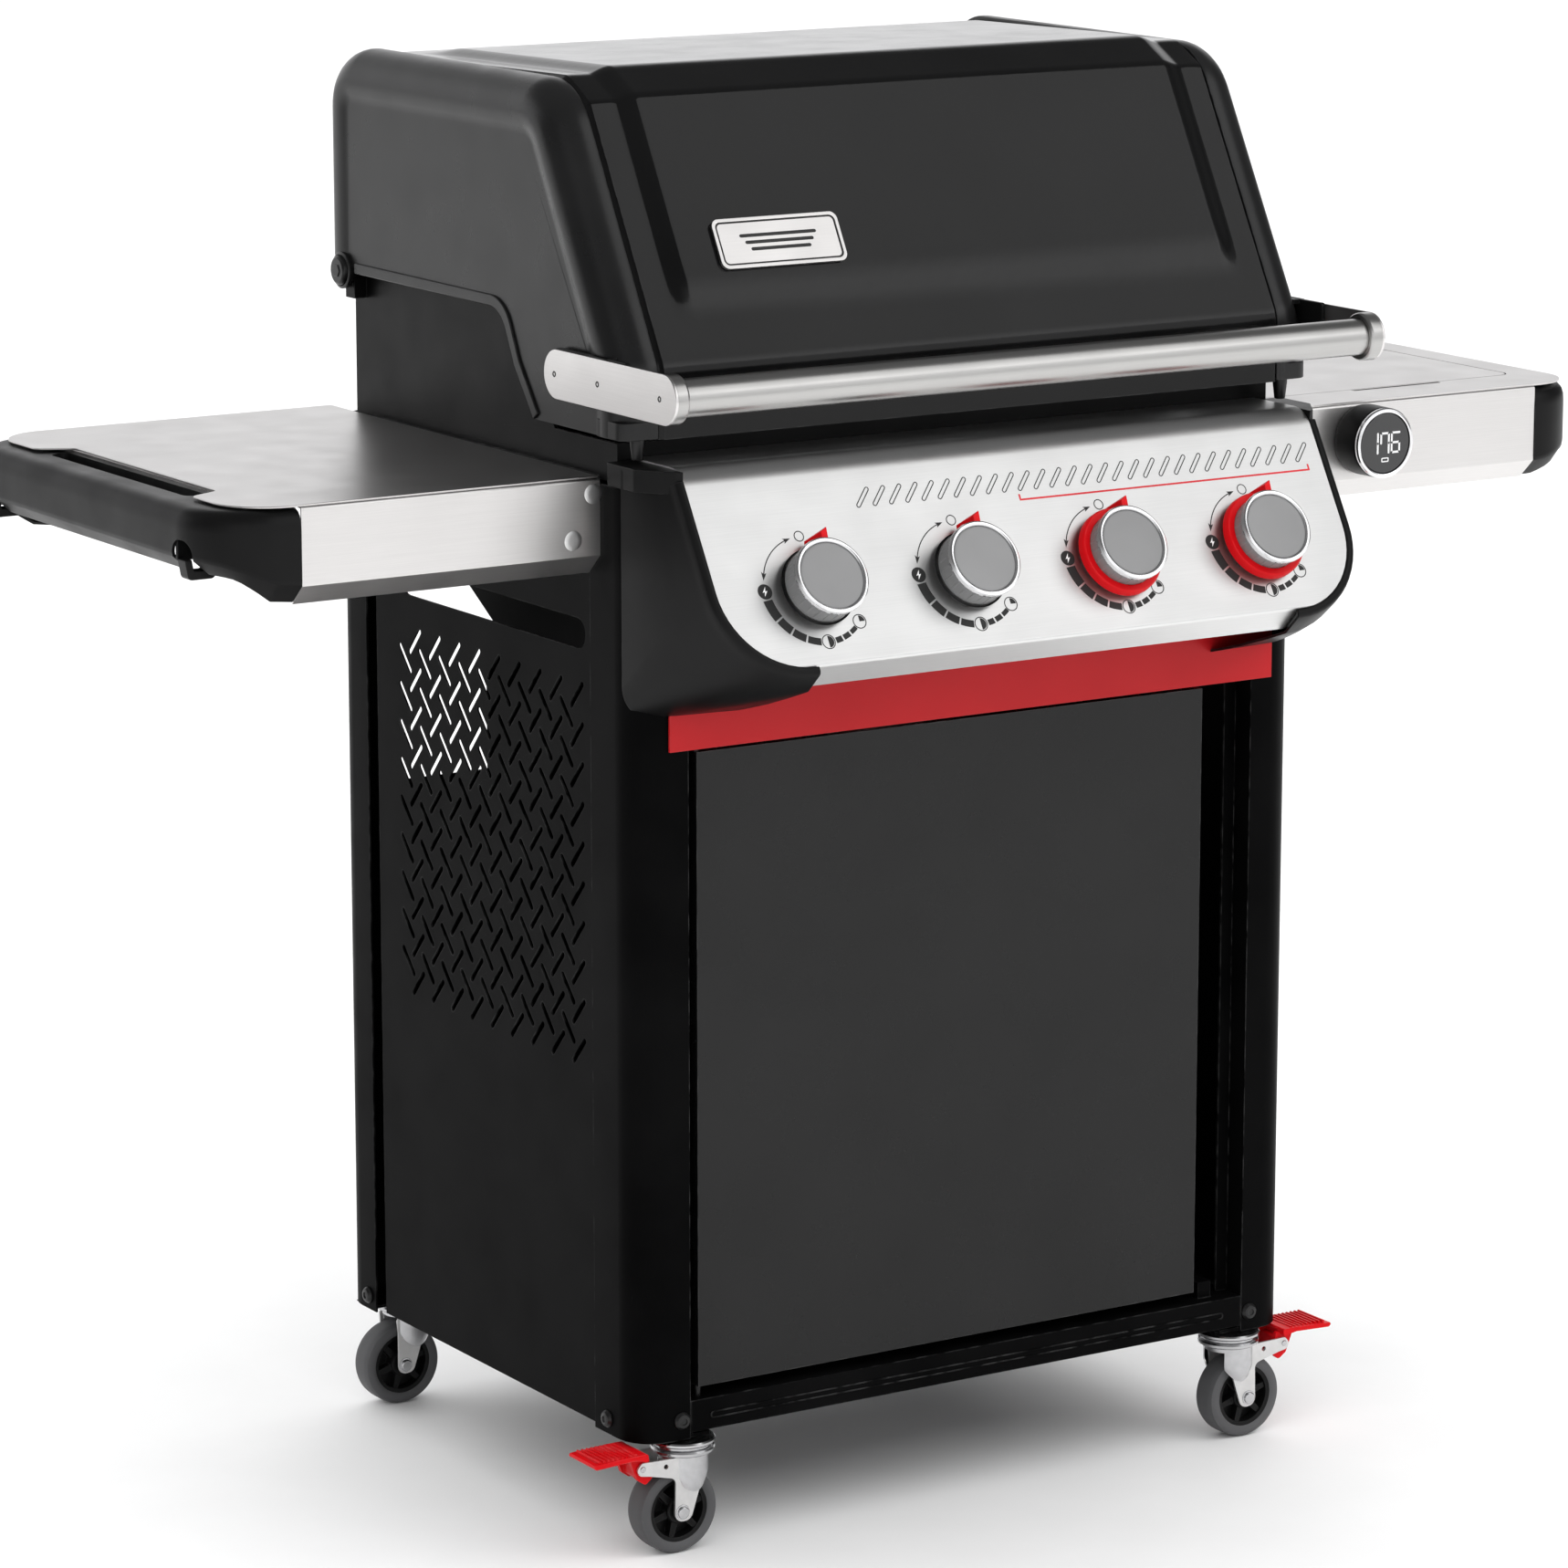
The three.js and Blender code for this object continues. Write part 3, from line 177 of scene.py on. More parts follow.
def capsule(u0, v0, u1, v1, radius, steps=4):
    """A slot with round ends between two points."""
    heading = math.atan2(v1 - v0, u1 - u0)
    out = []
    for end, turn in (((u1, v1), -math.pi / 2), ((u0, v0), math.pi / 2)):
        out += [polar(*end, radius, heading + turn + math.pi * k / steps) for k in range(steps + 1)]
    return out


def arc_band(cu, cv, r0, r1, a0, a1, steps=6):
    """Part of a ring, with its angles in degrees."""
    angles = [math.radians(a0 + (a1 - a0) * k / steps) for k in range(steps + 1)]
    return [polar(cu, cv, r1, a) for a in angles] + [polar(cu, cv, r0, a) for a in reversed(angles)]


def smoothstep(low, high, value):
    t = max(0.0, min(1.0, (value - low) / (high - low)))
    return t * t * (3 - 2 * t)


# ---------------------------------------------------------------- mesh making
WELD = 1e-6


def add_object(name, data):
    """A new object, linked into the scene."""
    obj = bpy.data.objects.new(name, data)
    bpy.context.scene.collection.objects.link(obj)
    return obj


class Part:
    """Collects closed shells and turns them into one piece."""

    def __init__(self):
        self.verts = []
        self.faces = []

    def add(self, verts, faces):
        base = len(self.verts)
        self.verts += [tuple(v) for v in verts]
        self.faces += [tuple(base + i for i in face) for face in faces]
        return self

    def prism(self, plane, outer, w0, w1, holes=()):
        """An outline with holes, from w0 to w1 along the plane's normal."""
        loops = [list(outer)] + [list(h) for h in holes]
        flat = [p for loop in loops for p in loop]
        tris = geometry.tessellate_polygon([[Vector((u, v, 0)) for u, v in loop] for loop in loops])
        n = len(flat)
        faces = [tuple(t) for t in tris] + [tuple(i + n for i in reversed(t)) for t in tris]
        if not holes:
            faces = [tuple(range(n)), tuple(range(2 * n - 1, n - 1, -1))]
        start = 0
        for loop in loops:
            size = len(loop)
            for k in range(size):
                a, b = start + k, start + (k + 1) % size
                faces.append((a, b, b + n, a + n))
            start += size
        verts = [plane(u, v, w0) for u, v in flat] + [plane(u, v, w1) for u, v in flat]
        return self.add(verts, faces)

    def box(self, x0, x1, y0, y1, z0, z1):
        return self.prism(plane_z, rectangle(x0, x1, y0, y1), z0, z1)

    def lathe(self, plane, cu, cv, profile, steps=48):
        """A closed profile of (radius, w) turned about the plane's normal; radius 0 ends close it."""
        rings, faces, verts = [], [], []
        for radius, w in profile:
            if radius < 1e-6:
                rings.append([len(verts)])
                verts.append(plane(cu, cv, w))
            else:
                rings.append(list(range(len(verts), len(verts) + steps)))
                verts += [plane(u, v, w) for u, v in circle(cu, cv, radius, steps)]
        pairs = list(zip(rings, rings[1:]))
        if len(rings[0]) > 1 and len(rings[-1]) > 1:
            pairs.append((rings[-1], rings[0]))
        for low, high in pairs:
            for k in range(steps):
                a, b = low[k % len(low)], low[(k + 1) % len(low)]
                c, d = high[(k + 1) % len(high)], high[k % len(high)]
                face = tuple(dict.fromkeys((a, b, c, d)))
                if len(face) > 2:
                    faces.append(face)
        return self.add(verts, faces)

    def loft(self, rows, wrap=False, ends=False):
        """A skin over rows of points; wrap closes each row, ends fills the first and last row."""
        size = len(rows[0])
        faces = []
        for r in range(len(rows) - 1):
            for k in range(size if wrap else size - 1):
                a, b = r * size + k, r * size + (k + 1) % size
                faces.append((a, b, b + size, a + size))
        if ends:
            faces.append(tuple(range(size)))
            faces.append(tuple((len(rows) - 1) * size + k for k in range(size)))
        return self.add([p for row in rows for p in row], faces)

    def bent(self, plane, line, radii, thickness, w0, w1, steps=8):
        """Sheet metal bent along a line, its thickness to the line's left."""
        outer = rounded(line, radii, closed=False, steps=steps)
        inner = offset_line(outer, thickness)
        return self.prism(plane, outer + inner[::-1], w0, w1)

    def screw(self, plane, cu, cv, w, radius, height, recess=True):
        """A domed screw head standing on w, or a plain rivet head without the recess."""
        dome = [(0, w + height * 0.75), (radius * 0.36, w + height * 0.7), (radius * 0.4, w + height),
                (radius * 0.75, w + height * 0.85), (radius, w + height * 0.3), (radius, w), (0, w)]
        if not recess:
            dome[0:3] = [(0, w + height), (radius * 0.5, w + height * 0.97)]
        return self.lathe(plane, cu, cv, dome, 24)

    def object(self, name, weld=False):
        """A new Blender object from the shells."""
        mesh = bpy.data.meshes.new(name)
        mesh.from_pydata([(x * MM, y * MM + SHIFT_Y, z * MM) for x, y, z in self.verts], [], self.faces)
        bm = bmesh.new()
        bm.from_mesh(mesh)
        if weld:
            bmesh.ops.remove_doubles(bm, verts=bm.verts, dist=WELD)
        bmesh.ops.recalc_face_normals(bm, faces=bm.faces)
        bm.to_mesh(mesh)
        bm.free()
        return add_object(name, mesh)

    def done(self, name, finish_name, body, slot=None, bevel=0.0, angle=32, segments=2, cutters=(),
             solid=0.0, replaces=(), smooth=True):
        """Makes the piece, in its finish, riding a body of the frame."""
        obj = self.object(name, weld=True)
        if solid:
            mod = obj.modifiers.new("solid", "SOLIDIFY")
            mod.thickness = solid * MM
            mod.offset = -1
            mod.use_even_offset = True
            bake(obj)
        for cutter in cutters:
            carve(obj, cutter)
        obj.data.materials.clear()
        obj.data.materials.append(M[finish_name])
        finish_surface(obj, bevel, angle, segments, smooth)
        slot = slot or SLOTS.get(finish_name, "stainless")
        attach(obj, body)
        if replaces:
            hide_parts(*replaces)
        return obj


def bake(obj):
    """Applies the object's modifiers to its mesh."""
    bpy.context.view_layer.update()
    evaluated = obj.evaluated_get(bpy.context.evaluated_depsgraph_get())
    obj.data = bpy.data.meshes.new_from_object(evaluated)
    obj.modifiers.clear()


def carve(obj, cutter):
    """Cuts a Part's shape out of the object."""
    tool = cutter.object("cutter")
    mod = obj.modifiers.new("cut", "BOOLEAN")
    mod.operation = "DIFFERENCE"
    mod.solver = "EXACT"
    mod.object = tool
    bake(obj)
    bpy.data.objects.remove(tool)


def add_bevel(obj, width, segments, angle):
    mod = obj.modifiers.new("bevel", "BEVEL")
    mod.width = width * MM
    mod.segments = segments
    mod.limit_method = "ANGLE"
    mod.angle_limit = math.radians(angle)
    return mod


def finish_surface(obj, bevel, angle, segments, smooth=True):
    """Rounds the sharp edges and shades the faces."""
    mesh = obj.data
    mesh.polygons.foreach_set("use_smooth", [smooth] * len(mesh.polygons))
    if bevel:
        add_bevel(obj, bevel, segments, angle).miter_outer = "MITER_ARC"
    elif smooth:
        mesh.set_sharp_from_angle(angle=math.radians(angle))
    normals = obj.modifiers.new("normals", "WEIGHTED_NORMAL")
    normals.keep_sharp = True
    normals.weight = 80


def dress(node, finish_name, bevel):
    """Gives a CAD node its finish, with its sharp edges eased."""
    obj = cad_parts[node]
    obj.data.materials.clear()
    obj.data.materials.append(M[finish_name])
    for name in ("custom_normal", "sharp_edge", "sharp_face"):
        if name in obj.data.attributes:
            obj.data.attributes.remove(obj.data.attributes[name])
    obj.modifiers.new("weld", "WELD").merge_threshold = 1e-5
    obj.data.polygons.foreach_set("use_smooth", [True] * len(obj.data.polygons))
    add_bevel(obj, bevel, 2, 38)
    obj.modifiers.new("normals", "WEIGHTED_NORMAL")


# ---------------------------------------------------------------- materials
def preset(node, **values):
    """Sets a node's unlinked inputs by name, with _ for a space."""
    for name, value in values.items():
        node.inputs[name.replace("_", " ")].default_value = value
    return node


EDGE_RADIUS = 1.6
STROKE_SCALE = 1500
FINE_STROKE_SCALE = 2200
STROKE_HEIGHT = 0.012


def finish(name, colour, roughness, metallic=0.0, specular=0.5, ior=1.5, coat=0.0, grain=(),
           brushed="", tint=0.08, blotch=9.0, uneven=0.06, wear=None):
    """A surface finish.

    grain is (cells per metre, height in mm), brushed the axis of the brushing, tint and blotch the
    depth and scale of the colour's drift, uneven the roughness range, wear (amount, worn colour).
    """
    mat = bpy.data.materials.new(name)
    mat.use_nodes = True
    nodes, links = mat.node_tree.nodes, mat.node_tree.links
    shader = nodes["Principled BSDF"]
    preset(shader, Metallic=metallic, Specular_IOR_Level=specular, IOR=ior, Coat_Weight=coat,
           Coat_Roughness=0.08)
    place = nodes.new("ShaderNodeTexCoord").outputs["Object"]

    def noise(scale, detail=3.0, stretch=None):
        vector = place
        if stretch:
            mapping = preset(nodes.new("ShaderNodeMapping"), Scale=stretch)
            links.new(place, mapping.inputs["Vector"])
            vector = mapping.outputs["Vector"]
        node = preset(nodes.new("ShaderNodeTexNoise"), Scale=scale, Detail=detail)
        links.new(vector, node.inputs["Vector"])
        return node.outputs["Fac"]

    def spread(value, low, high, start=0.3, stop=0.7):
        node = nodes.new("ShaderNodeMapRange")
        preset(node, From_Min=start, From_Max=stop, To_Min=low, To_Max=high)
        links.new(value, node.inputs["Value"])
        return node.outputs["Result"]

    def mixed(factor, first, second):
        node = nodes.new("ShaderNodeMix")
        node.data_type = "RGBA"
        links.new(factor, node.inputs["Factor"])
        for socket, value in ((node.inputs["A"], first), (node.inputs["B"], second)):
            if hasattr(value, "is_output"):
                links.new(value, socket)
            else:
                socket.default_value = (*value, 1.0)
        return node.outputs["Result"]

    low = tuple(c * (1 - tint) for c in colour)
    high = tuple(min(1.0, c * (1 + tint) + 0.002) for c in colour)
    base = mixed(spread(noise(blotch), 0, 1), low, high)
    lines = {"x": (0.012, 1, 1), "y": (1, 0.012, 1)}.get(brushed)
    if lines:
        strokes = noise(STROKE_SCALE, 2.0, lines)
        base = mixed(spread(strokes, 0, 0.22), base, tuple(c * 0.8 for c in colour))
    if wear:
        amount, worn = wear
        rounding = preset(nodes.new("ShaderNodeBevel"), Radius=EDGE_RADIUS * MM)
        rounding.samples = 4
        across = nodes.new("ShaderNodeVectorMath")
        across.operation = "DOT_PRODUCT"
        links.new(rounding.outputs["Normal"], across.inputs[0])
        links.new(nodes.new("ShaderNodeNewGeometry").outputs["Normal"], across.inputs[1])
        mask = nodes.new("ShaderNodeMath")
        mask.operation = "MULTIPLY"
        links.new(spread(across.outputs["Value"], amount, 0, 0.86, 0.985), mask.inputs[0])
        links.new(spread(noise(70, 5.0), 0.0, 1, 0.42, 0.62), mask.inputs[1])
        base = mixed(mask.outputs["Value"], base, worn)
    links.new(base, shader.inputs["Base Color"])
    smudge = spread(noise(23, 5.0), roughness - uneven, roughness + uneven)
    links.new(smudge, shader.inputs["Roughness"])
    heights = []
    if lines:
        heights.append((noise(FINE_STROKE_SCALE, 2.0, lines), STROKE_HEIGHT))
    if grain:
        heights.append((noise(grain[0], 2.0), grain[1]))
    normal = None
    for value, height in heights:
        bump = preset(nodes.new("ShaderNodeBump"), Distance=height * MM, Strength=1.0)
        links.new(value, bump.inputs["Height"])
        if normal is not None:
            links.new(normal, bump.inputs["Normal"])
        normal = bump.outputs["Normal"]
    if normal is not None:
        links.new(normal, shader.inputs["Normal"])
    return mat


SCUFF = (0.16, 0.16, 0.16)
M = {
    "enamel": finish("porcelain_enamel", (0.0026, 0.0026, 0.0027), 0.13, specular=0.245,
                     grain=(110, 0.10), blotch=5, uneven=0.03, wear=(0.25, SCUFF)),
    "casting": finish("cast_coating", (0.0065, 0.0065, 0.0067), 0.30, specular=0.35,
                      grain=(1500, 0.05), uneven=0.05, wear=(0.3, SCUFF)),
    "plastic": finish("grained_plastic", (0.0032, 0.0032, 0.0033), 0.38, specular=0.15,
                      grain=(1900, 0.05), uneven=0.05, wear=(0.3, (0.08, 0.08, 0.08))),
    "cart": finish("cart_powder_coat", (0.0014, 0.0014, 0.0015), 0.36, ior=1.085,
                   grain=(900, 0.035), uneven=0.05, wear=(0.35, SCUFF)),
    "door": finish("door_powder_coat", (0.0032, 0.0032, 0.0033), 0.27, specular=0.29,
                   grain=(900, 0.025), uneven=0.04, wear=(0.3, SCUFF)),
    "steel": finish("brushed_stainless", (0.74, 0.725, 0.715), 0.34, 1.0, brushed="x",
                    tint=0.015, uneven=0.025),
    "handle": finish("handle_stainless", (0.50, 0.495, 0.485), 0.30, 1.0, brushed="x",
                     tint=0.015, uneven=0.025),
    "box": finish("firebox_coat", (0.0028, 0.0028, 0.0029), 0.38, ior=1.19,
                  grain=(1300, 0.06), uneven=0.05, wear=(0.3, SCUFF)),
    "steel_y": finish("brushed_stainless_y", (0.78, 0.765, 0.755), 0.32, 1.0, brushed="y",
                      tint=0.015, uneven=0.025),
    "panel": finish("panel_stainless", (0.76, 0.76, 0.755), 0.38, 1.0, brushed="x",
                    tint=0.01, uneven=0.02),
    "red_paint": finish("red_powder_coat", (0.50, 0.010, 0.014), 0.36, specular=0.2,
                        grain=(900, 0.03), tint=0.05, wear=(0.3, (0.3, 0.12, 0.12))),
    "red": finish("red_plastic", (0.60, 0.0015, 0.005), 0.36, specular=0.12,
                  grain=(1900, 0.03), tint=0.05, wear=(0.3, (0.6, 0.2, 0.2))),
    "iron": finish("enamelled_iron", (0.02, 0.02, 0.021), 0.55, specular=0.4,
                   grain=(700, 0.2), tint=0.25, wear=(0.5, (0.12, 0.09, 0.07))),
    "burner": finish("heated_steel", (0.45, 0.41, 0.36), 0.4, 1.0, grain=(1200, 0.03),
                     tint=0.18, blotch=22, uneven=0.1),
    "aluminium": finish("pressed_aluminium", (0.72, 0.73, 0.74), 0.45, 1.0,
                        grain=(1400, 0.04), tint=0.05, uneven=0.08),
    "brass": finish("machined_brass", (0.65, 0.47, 0.2), 0.32, 1.0, grain=(1300, 0.03), tint=0.1),
    "zinc": finish("bright_zinc", (0.55, 0.55, 0.56), 0.22, 1.0, grain=(500, 0.02),
                   tint=0.06, blotch=160, uneven=0.08),
    "zinc_flat": finish("plain_zinc", (0.66, 0.655, 0.65), 0.42, 0.85, grain=(1500, 0.03),
                        tint=0.05, blotch=120, uneven=0.06),
    "chrome": finish("knob_ring_chrome", (0.86, 0.86, 0.87), 0.16, 1.0, grain=(2500, 0.01),
                     tint=0.02, uneven=0.04),
    "knob": finish("knob_silver_plastic", (0.245, 0.245, 0.247), 0.42, 0.35, specular=0.5,
                   grain=(2500, 0.03), tint=0.05, wear=(0.3, (0.4, 0.4, 0.4))),
    "tyre": finish("grey_tread", (0.075, 0.075, 0.078), 0.6, specular=0.35,
                   grain=(1100, 0.12), tint=0.15, wear=(0.5, (0.17, 0.17, 0.17))),
    "glass": finish("display_window", (0.012, 0.012, 0.013), 0.09, specular=0.5, coat=0.6,
                    grain=(60, 0.02), uneven=0.03),
    "ink": finish("black_print", (0.012, 0.012, 0.012), 0.55, grain=(3000, 0.01)),
    "white_ink": finish("white_print", (0.80, 0.80, 0.80), 0.5, grain=(3000, 0.01), tint=0.03),
    "red_ink": finish("red_print", (0.62, 0.01, 0.02), 0.5, grain=(3000, 0.01)),
}

# The frame's material slot of a piece in each finish, where it isn't stainless.
SLOTS = {"enamel": "enamel", "casting": "cast_coating", "plastic": "black_plastic", "cart": "cart_paint",
         "box": "cart_paint", "red": "red_plastic", "knob": "knob", "tyre": "tyre", "zinc": "zinc",
         "zinc_flat": "zinc", "glass": "display"}


# ---------------------------------------------------------------- camera, floor and light
def make_camera():
    """A long lens at eye height, ahead and to the left of the grill."""
    azimuth, elevation, distance = math.radians(-32.171), math.radians(12.039), 5.3761
    target = Vector((0, SHIFT_Y, 0.57193))
    back = Vector((math.sin(azimuth) * math.cos(elevation),
                   -math.cos(azimuth) * math.cos(elevation), math.sin(elevation)))
    data = bpy.data.cameras.new("camera")
    data.sensor_width = 36
    data.lens = 139.347
    camera = add_object("camera", data)
    camera.location = target + back * distance
    camera.rotation_mode = "QUATERNION"
    camera.rotation_quaternion = (-back).to_track_quat("-Z", "Y")
    data.clip_start, data.clip_end = 0.05, 200
    bpy.context.scene.camera = camera


def make_floor():
    mesh = bpy.data.meshes.new("floor")
    size = 40
    corners = [(-size, -size, 0), (size, -size, 0), (size, size, 0), (-size, size, 0)]
    mesh.from_pydata(corners, [], [(0, 1, 2, 3)])
    floor = add_object("floor", mesh)
    mesh.materials.append(finish("pale_floor", (0.86, 0.86, 0.86), 0.7, specular=0.2, tint=0.01))


def make_light(name, energy, size, location, target):
    data = bpy.data.lights.new(name, "AREA")
    data.shape = "RECTANGLE"
    data.size, data.size_y = size
    data.energy = energy
    light = add_object(name, data)
    light.location = location
    light.rotation_mode = "QUATERNION"
    light.rotation_quaternion = (Vector(target) - Vector(location)).to_track_quat("-Z", "Y")
    return light


def make_world():
    """Bright toward the horizon in front and behind, dim overhead and to the sides."""
    world = bpy.data.worlds.new("studio")
    world.use_nodes = True
    nodes, links = world.node_tree.nodes, world.node_tree.links
    split = nodes.new("ShaderNodeSeparateXYZ")
    links.new(nodes.new("ShaderNodeTexCoord").outputs["Generated"], split.inputs["Vector"])

    def fade(value, start, stop, first, last):
        node = nodes.new("ShaderNodeMapRange")
        preset(node, From_Min=start, From_Max=stop, To_Min=first, To_Max=last)
        node.interpolation_type = "SMOOTHSTEP"
        links.new(value, node.inputs["Value"])
        return node.outputs["Result"]

    aside = nodes.new("ShaderNodeMath")
    aside.operation = "ABSOLUTE"
    links.new(split.outputs["X"], aside.inputs[0])
    both = nodes.new("ShaderNodeMath")
    both.operation = "MULTIPLY"
    links.new(fade(split.outputs["Z"], 0.34, 0.62, 1.12, 0.14), both.inputs[0])
    links.new(fade(aside.outputs["Value"], 0.70, 0.88, 1.0, 0.10), both.inputs[1])
    links.new(both.outputs["Value"], nodes["Background"].inputs["Strength"])
    nodes["Background"].inputs["Color"].default_value = (0.99, 0.99, 1.0, 1)
    bpy.context.scene.world = world
    bpy.context.scene.view_settings.view_transform = "Standard"


def make_stage():
    make_camera()
    make_floor()
    make_world()
    make_light("front_softbox", 31, (2.8, 2.8), (2.2, -2.9, 3.7), (0, -0.15, 1.0))
    make_light("ceiling", 5200, (34, 34), (0, 4, 8), (0, 4, 0)).visible_glossy = False


# ---------------------------------------------------------------- cart
def side_panels():
    """Folded sheets with a hand hole; the left one has two interleaved rows of slanted slots."""
    front, rear, bottom, top = -235.4, 133, 104, 905
    inner_face, outer_face = 333.4, 335
    pitch_y, pitch_z = 34.6, 33.6
    reach_y, reach_z = 9.0, 10.0
    slot_radius = 2.5
    first_y, first_z, columns, rows = 64.8, 723.2, 9, 10
    slots = []
    for i in range(columns):
        for j in range(rows):
            y, z = first_y - pitch_y * i, first_z - pitch_z * j
            slots.append(capsule(y - reach_y, z + reach_z, y + reach_y, z - reach_z, slot_radius))
            if j < rows - 1:
                y, z = y + pitch_y / 2, z - pitch_z / 2
                slots.append(capsule(y - reach_y, z - reach_z, y + reach_y, z + reach_z, slot_radius))
    hand_hole = rectangle(-227, 85, 763, 788, 12)
    front_fold = rectangle(323, 334, front, -234)
    rear_fold = [(334, 131.4), (334, rear), (322, rear), (322, 149), (320.4, 149), (320.4, 131.4)]
    shield_outline = [(-200, 705), (32, 705), (172, 790), (172, 798), (-200, 798)]
    for side, name in SIDES:
        part = Part()
        openings = [hand_hole, *slots] if side < 0 else [hand_hole]
        sheet = rectangle(front, rear, bottom, top)
        part.prism(plane_x, sheet, side * inner_face, side * outer_face, openings)
        for fold in (front_fold, rear_fold):
            part.prism(plane_z, [(side * x, y) for x, y in fold], bottom, top)
        part.done(f"side_sheet_{name}", "cart", "cart",
                  bevel=0.5, replaces=[f"side_panel_{name}"])
        shield = Part().prism(plane_x, shield_outline, side * 250, side * 251.2)
        shield.done(f"heat_shield_{name}", "box", "cart", bevel=0.2)


LEG_SCREW = (7.5, 4.2)


def cart_frame():
    for node in ("leg_front_left", "leg_front_right", "leg_rear_left", "leg_rear_right", "bottom_rail",
                 "bottom_shelf", "rear_panel", "rear_crossbar"):
        dress(node, "cart", 0.6)
    dress("door", "door", 1.2)
    dress("red_rail", "red_paint", 0.8)
    bolts = Part()
    for side, _ in SIDES:
        outward = facing(plane_x, side * CART_HALF, side)
        bolts.screw(facing(plane_y, CART_FRONT, -1), side * 293, 117, 0, *LEG_SCREW)
        bolts.screw(outward, -257, 113, 0, *LEG_SCREW)
        bolts.screw(outward, 164, 113, 0, *LEG_SCREW)
        bolts.screw(facing(plane_y, CART_REAR, 1), side * 293, 117, 0, *LEG_SCREW)
    bolts.done("leg_bolts", "casting", "cart", slot="cart_paint", bevel=0.3)
    outer, inner = [capsule(-262, 117.5, 262, 117.5, radius, 8) for radius in (3.2, 1.9)]
    bead = Part().prism(plane_y, outer, -306.7, -305.9, [inner])
    bead.done("rail_bead", "cart", "cart", bevel=0.3)


# ---------------------------------------------------------------- casters
def wheel(key, cx, cy):
    """Grey tread on a black hub with six spokes."""
    plane = lambda u, v, w: plane_y(cx + u, WHEEL_RADIUS + v, cy + w)
    r = WHEEL_RADIUS
    tyre = Part()
    tread = [(r, 5), (37.2, 8.5), (36, 11.6), (33.5, 13), (30, 13), (27.5, 11.5)]
    tyre.lathe(plane, 0, 0, [(radius, -w) for radius, w in reversed(tread)] + tread, 72)
    tyre.done(f"tyre_{key}", "tyre", f"wheel_{key}", replaces=[f"caster_wheel_{key}"])
    hub = Part()
    hub.lathe(plane, 0, 0, [(24, -10.5), (27.6, -11.4), (27.6, 11.4), (24, 10.5), (23.4, 6), (23.4, -6)], 60)
    core = [(5.2, -12.5), (10.5, -12.5), (11.5, -11), (11.5, 11), (10.5, 12.5), (5.2, 12.5)]
    hub.lathe(plane, 0, 0, core, 40)
    for k in range(6):
        spoke = [(10.5, -3.2), (24, -2.4), (24, 2.4), (10.5, 3.2)]
        hub.prism(plane, rotated(spoke, math.radians(60 * k + 15)), -9, 9)
    hub.prism(plane, circle(0, 0, 23.6, 48), -1.2, 1.2, [circle(0, 0, 11, 32)])
    hub.done(f"wheel_hub_{key}", "plastic", f"wheel_{key}", bevel=0.5)


def fork(key, sx, cx, cy, braked):
    """Pressed fork: two flat cheeks, a barrel over the swivel, ball race and axle bolt."""
    trail = 10.5
    plane = lambda u, v, w: plane_y(cx + sx * u, v, cy + w)
    arm = ([(17, 68), (43, 74.5), (52, 76), (54.5, 81.5), (50, 87), (40, 86.5), (17, 86)] if braked
           else [(18, 68), (19, 80), (14, 86)])
    cheek = rounded([(-10, 86), (-8, 62), (trail - 8, 29.5), (trail + 7.5, 29.5), *arm],
                    [2, 10, 7.5, 7.5, 6] + [4] * (len(arm) - 2) + [2], True, 5)
    holes = [circle(26.5, 80, 2.2, 16)] if braked else []
    part = Part()
    for w0 in (-17.5, 15.5):
        part.prism(plane, cheek, w0, w0 + 2, holes)
    part.done(f"fork_cheeks_{key}", "zinc_flat", f"caster_{key}",
              bevel=0.5, replaces=[f"caster_fork_{key}"])
    swivel = Part()
    column = lambda u, v, w: (cx + u, cy + v, w)
    races = [(0, 98.6), (26.6, 98.6), (27.8, 97.4), (27.8, 95.6), (26.2, 94.2), (24.2, 93.6), (24.2, 92.2),
             (26.6, 91.4), (27.4, 89.8), (27, 87.6), (24.6, 86), (21.6, 85.4), (21.6, 82), (0, 82)]
    swivel.lathe(column, 0, 0, races, 56)
    swivel.done(f"swivel_race_{key}", "zinc", f"caster_{key}")
    barrel = Part()
    top, radius, half_turn = 86, 22.4, 44
    for side, _ in SIDES:
        rows = []
        for t in range(9):
            share = math.sin(math.pi / 2 * t / 8)
            r = radius - 1.6 * smoothstep(0.8, 1, share)
            row = []
            for k in range(17):
                a = math.radians(half_turn * (k / 8 - 1))
                low = 55 + 11 * (math.sin(a) / math.sin(math.radians(half_turn))) ** 2
                row.append((cx + r * math.sin(a), cy + side * r * math.cos(a), top + (low - top) * share))
            rows.append(row)
        barrel.loft(rows)
    barrel.done(f"swivel_barrel_{key}", "zinc", f"caster_{key}", solid=1.2)
    bolt = Part()
    head = [(0, 20.4), (4.4, 20.4), (5.2, 19.8), (5.2, 18.0), (6.6, 17.9), (6.6, 17.4), (0, 17.4)]
    for side, _ in SIDES:
        out = facing(plane, 0, side)
        bolt.lathe(out, trail, WHEEL_RADIUS, head, 36)
        if braked:
            bolt.lathe(out, 49, 81.5, [(0, 18.3), (2.2, 18.3), (2.8, 17.5), (0, 17.5)], 20)
    bolt.lathe(plane, trail, WHEEL_RADIUS, [(0, -17), (4.5, -17), (4.5, 17), (0, 17)], 24)
    bolt.done(f"axle_{key}", "zinc", f"caster_{key}", bevel=0.3)


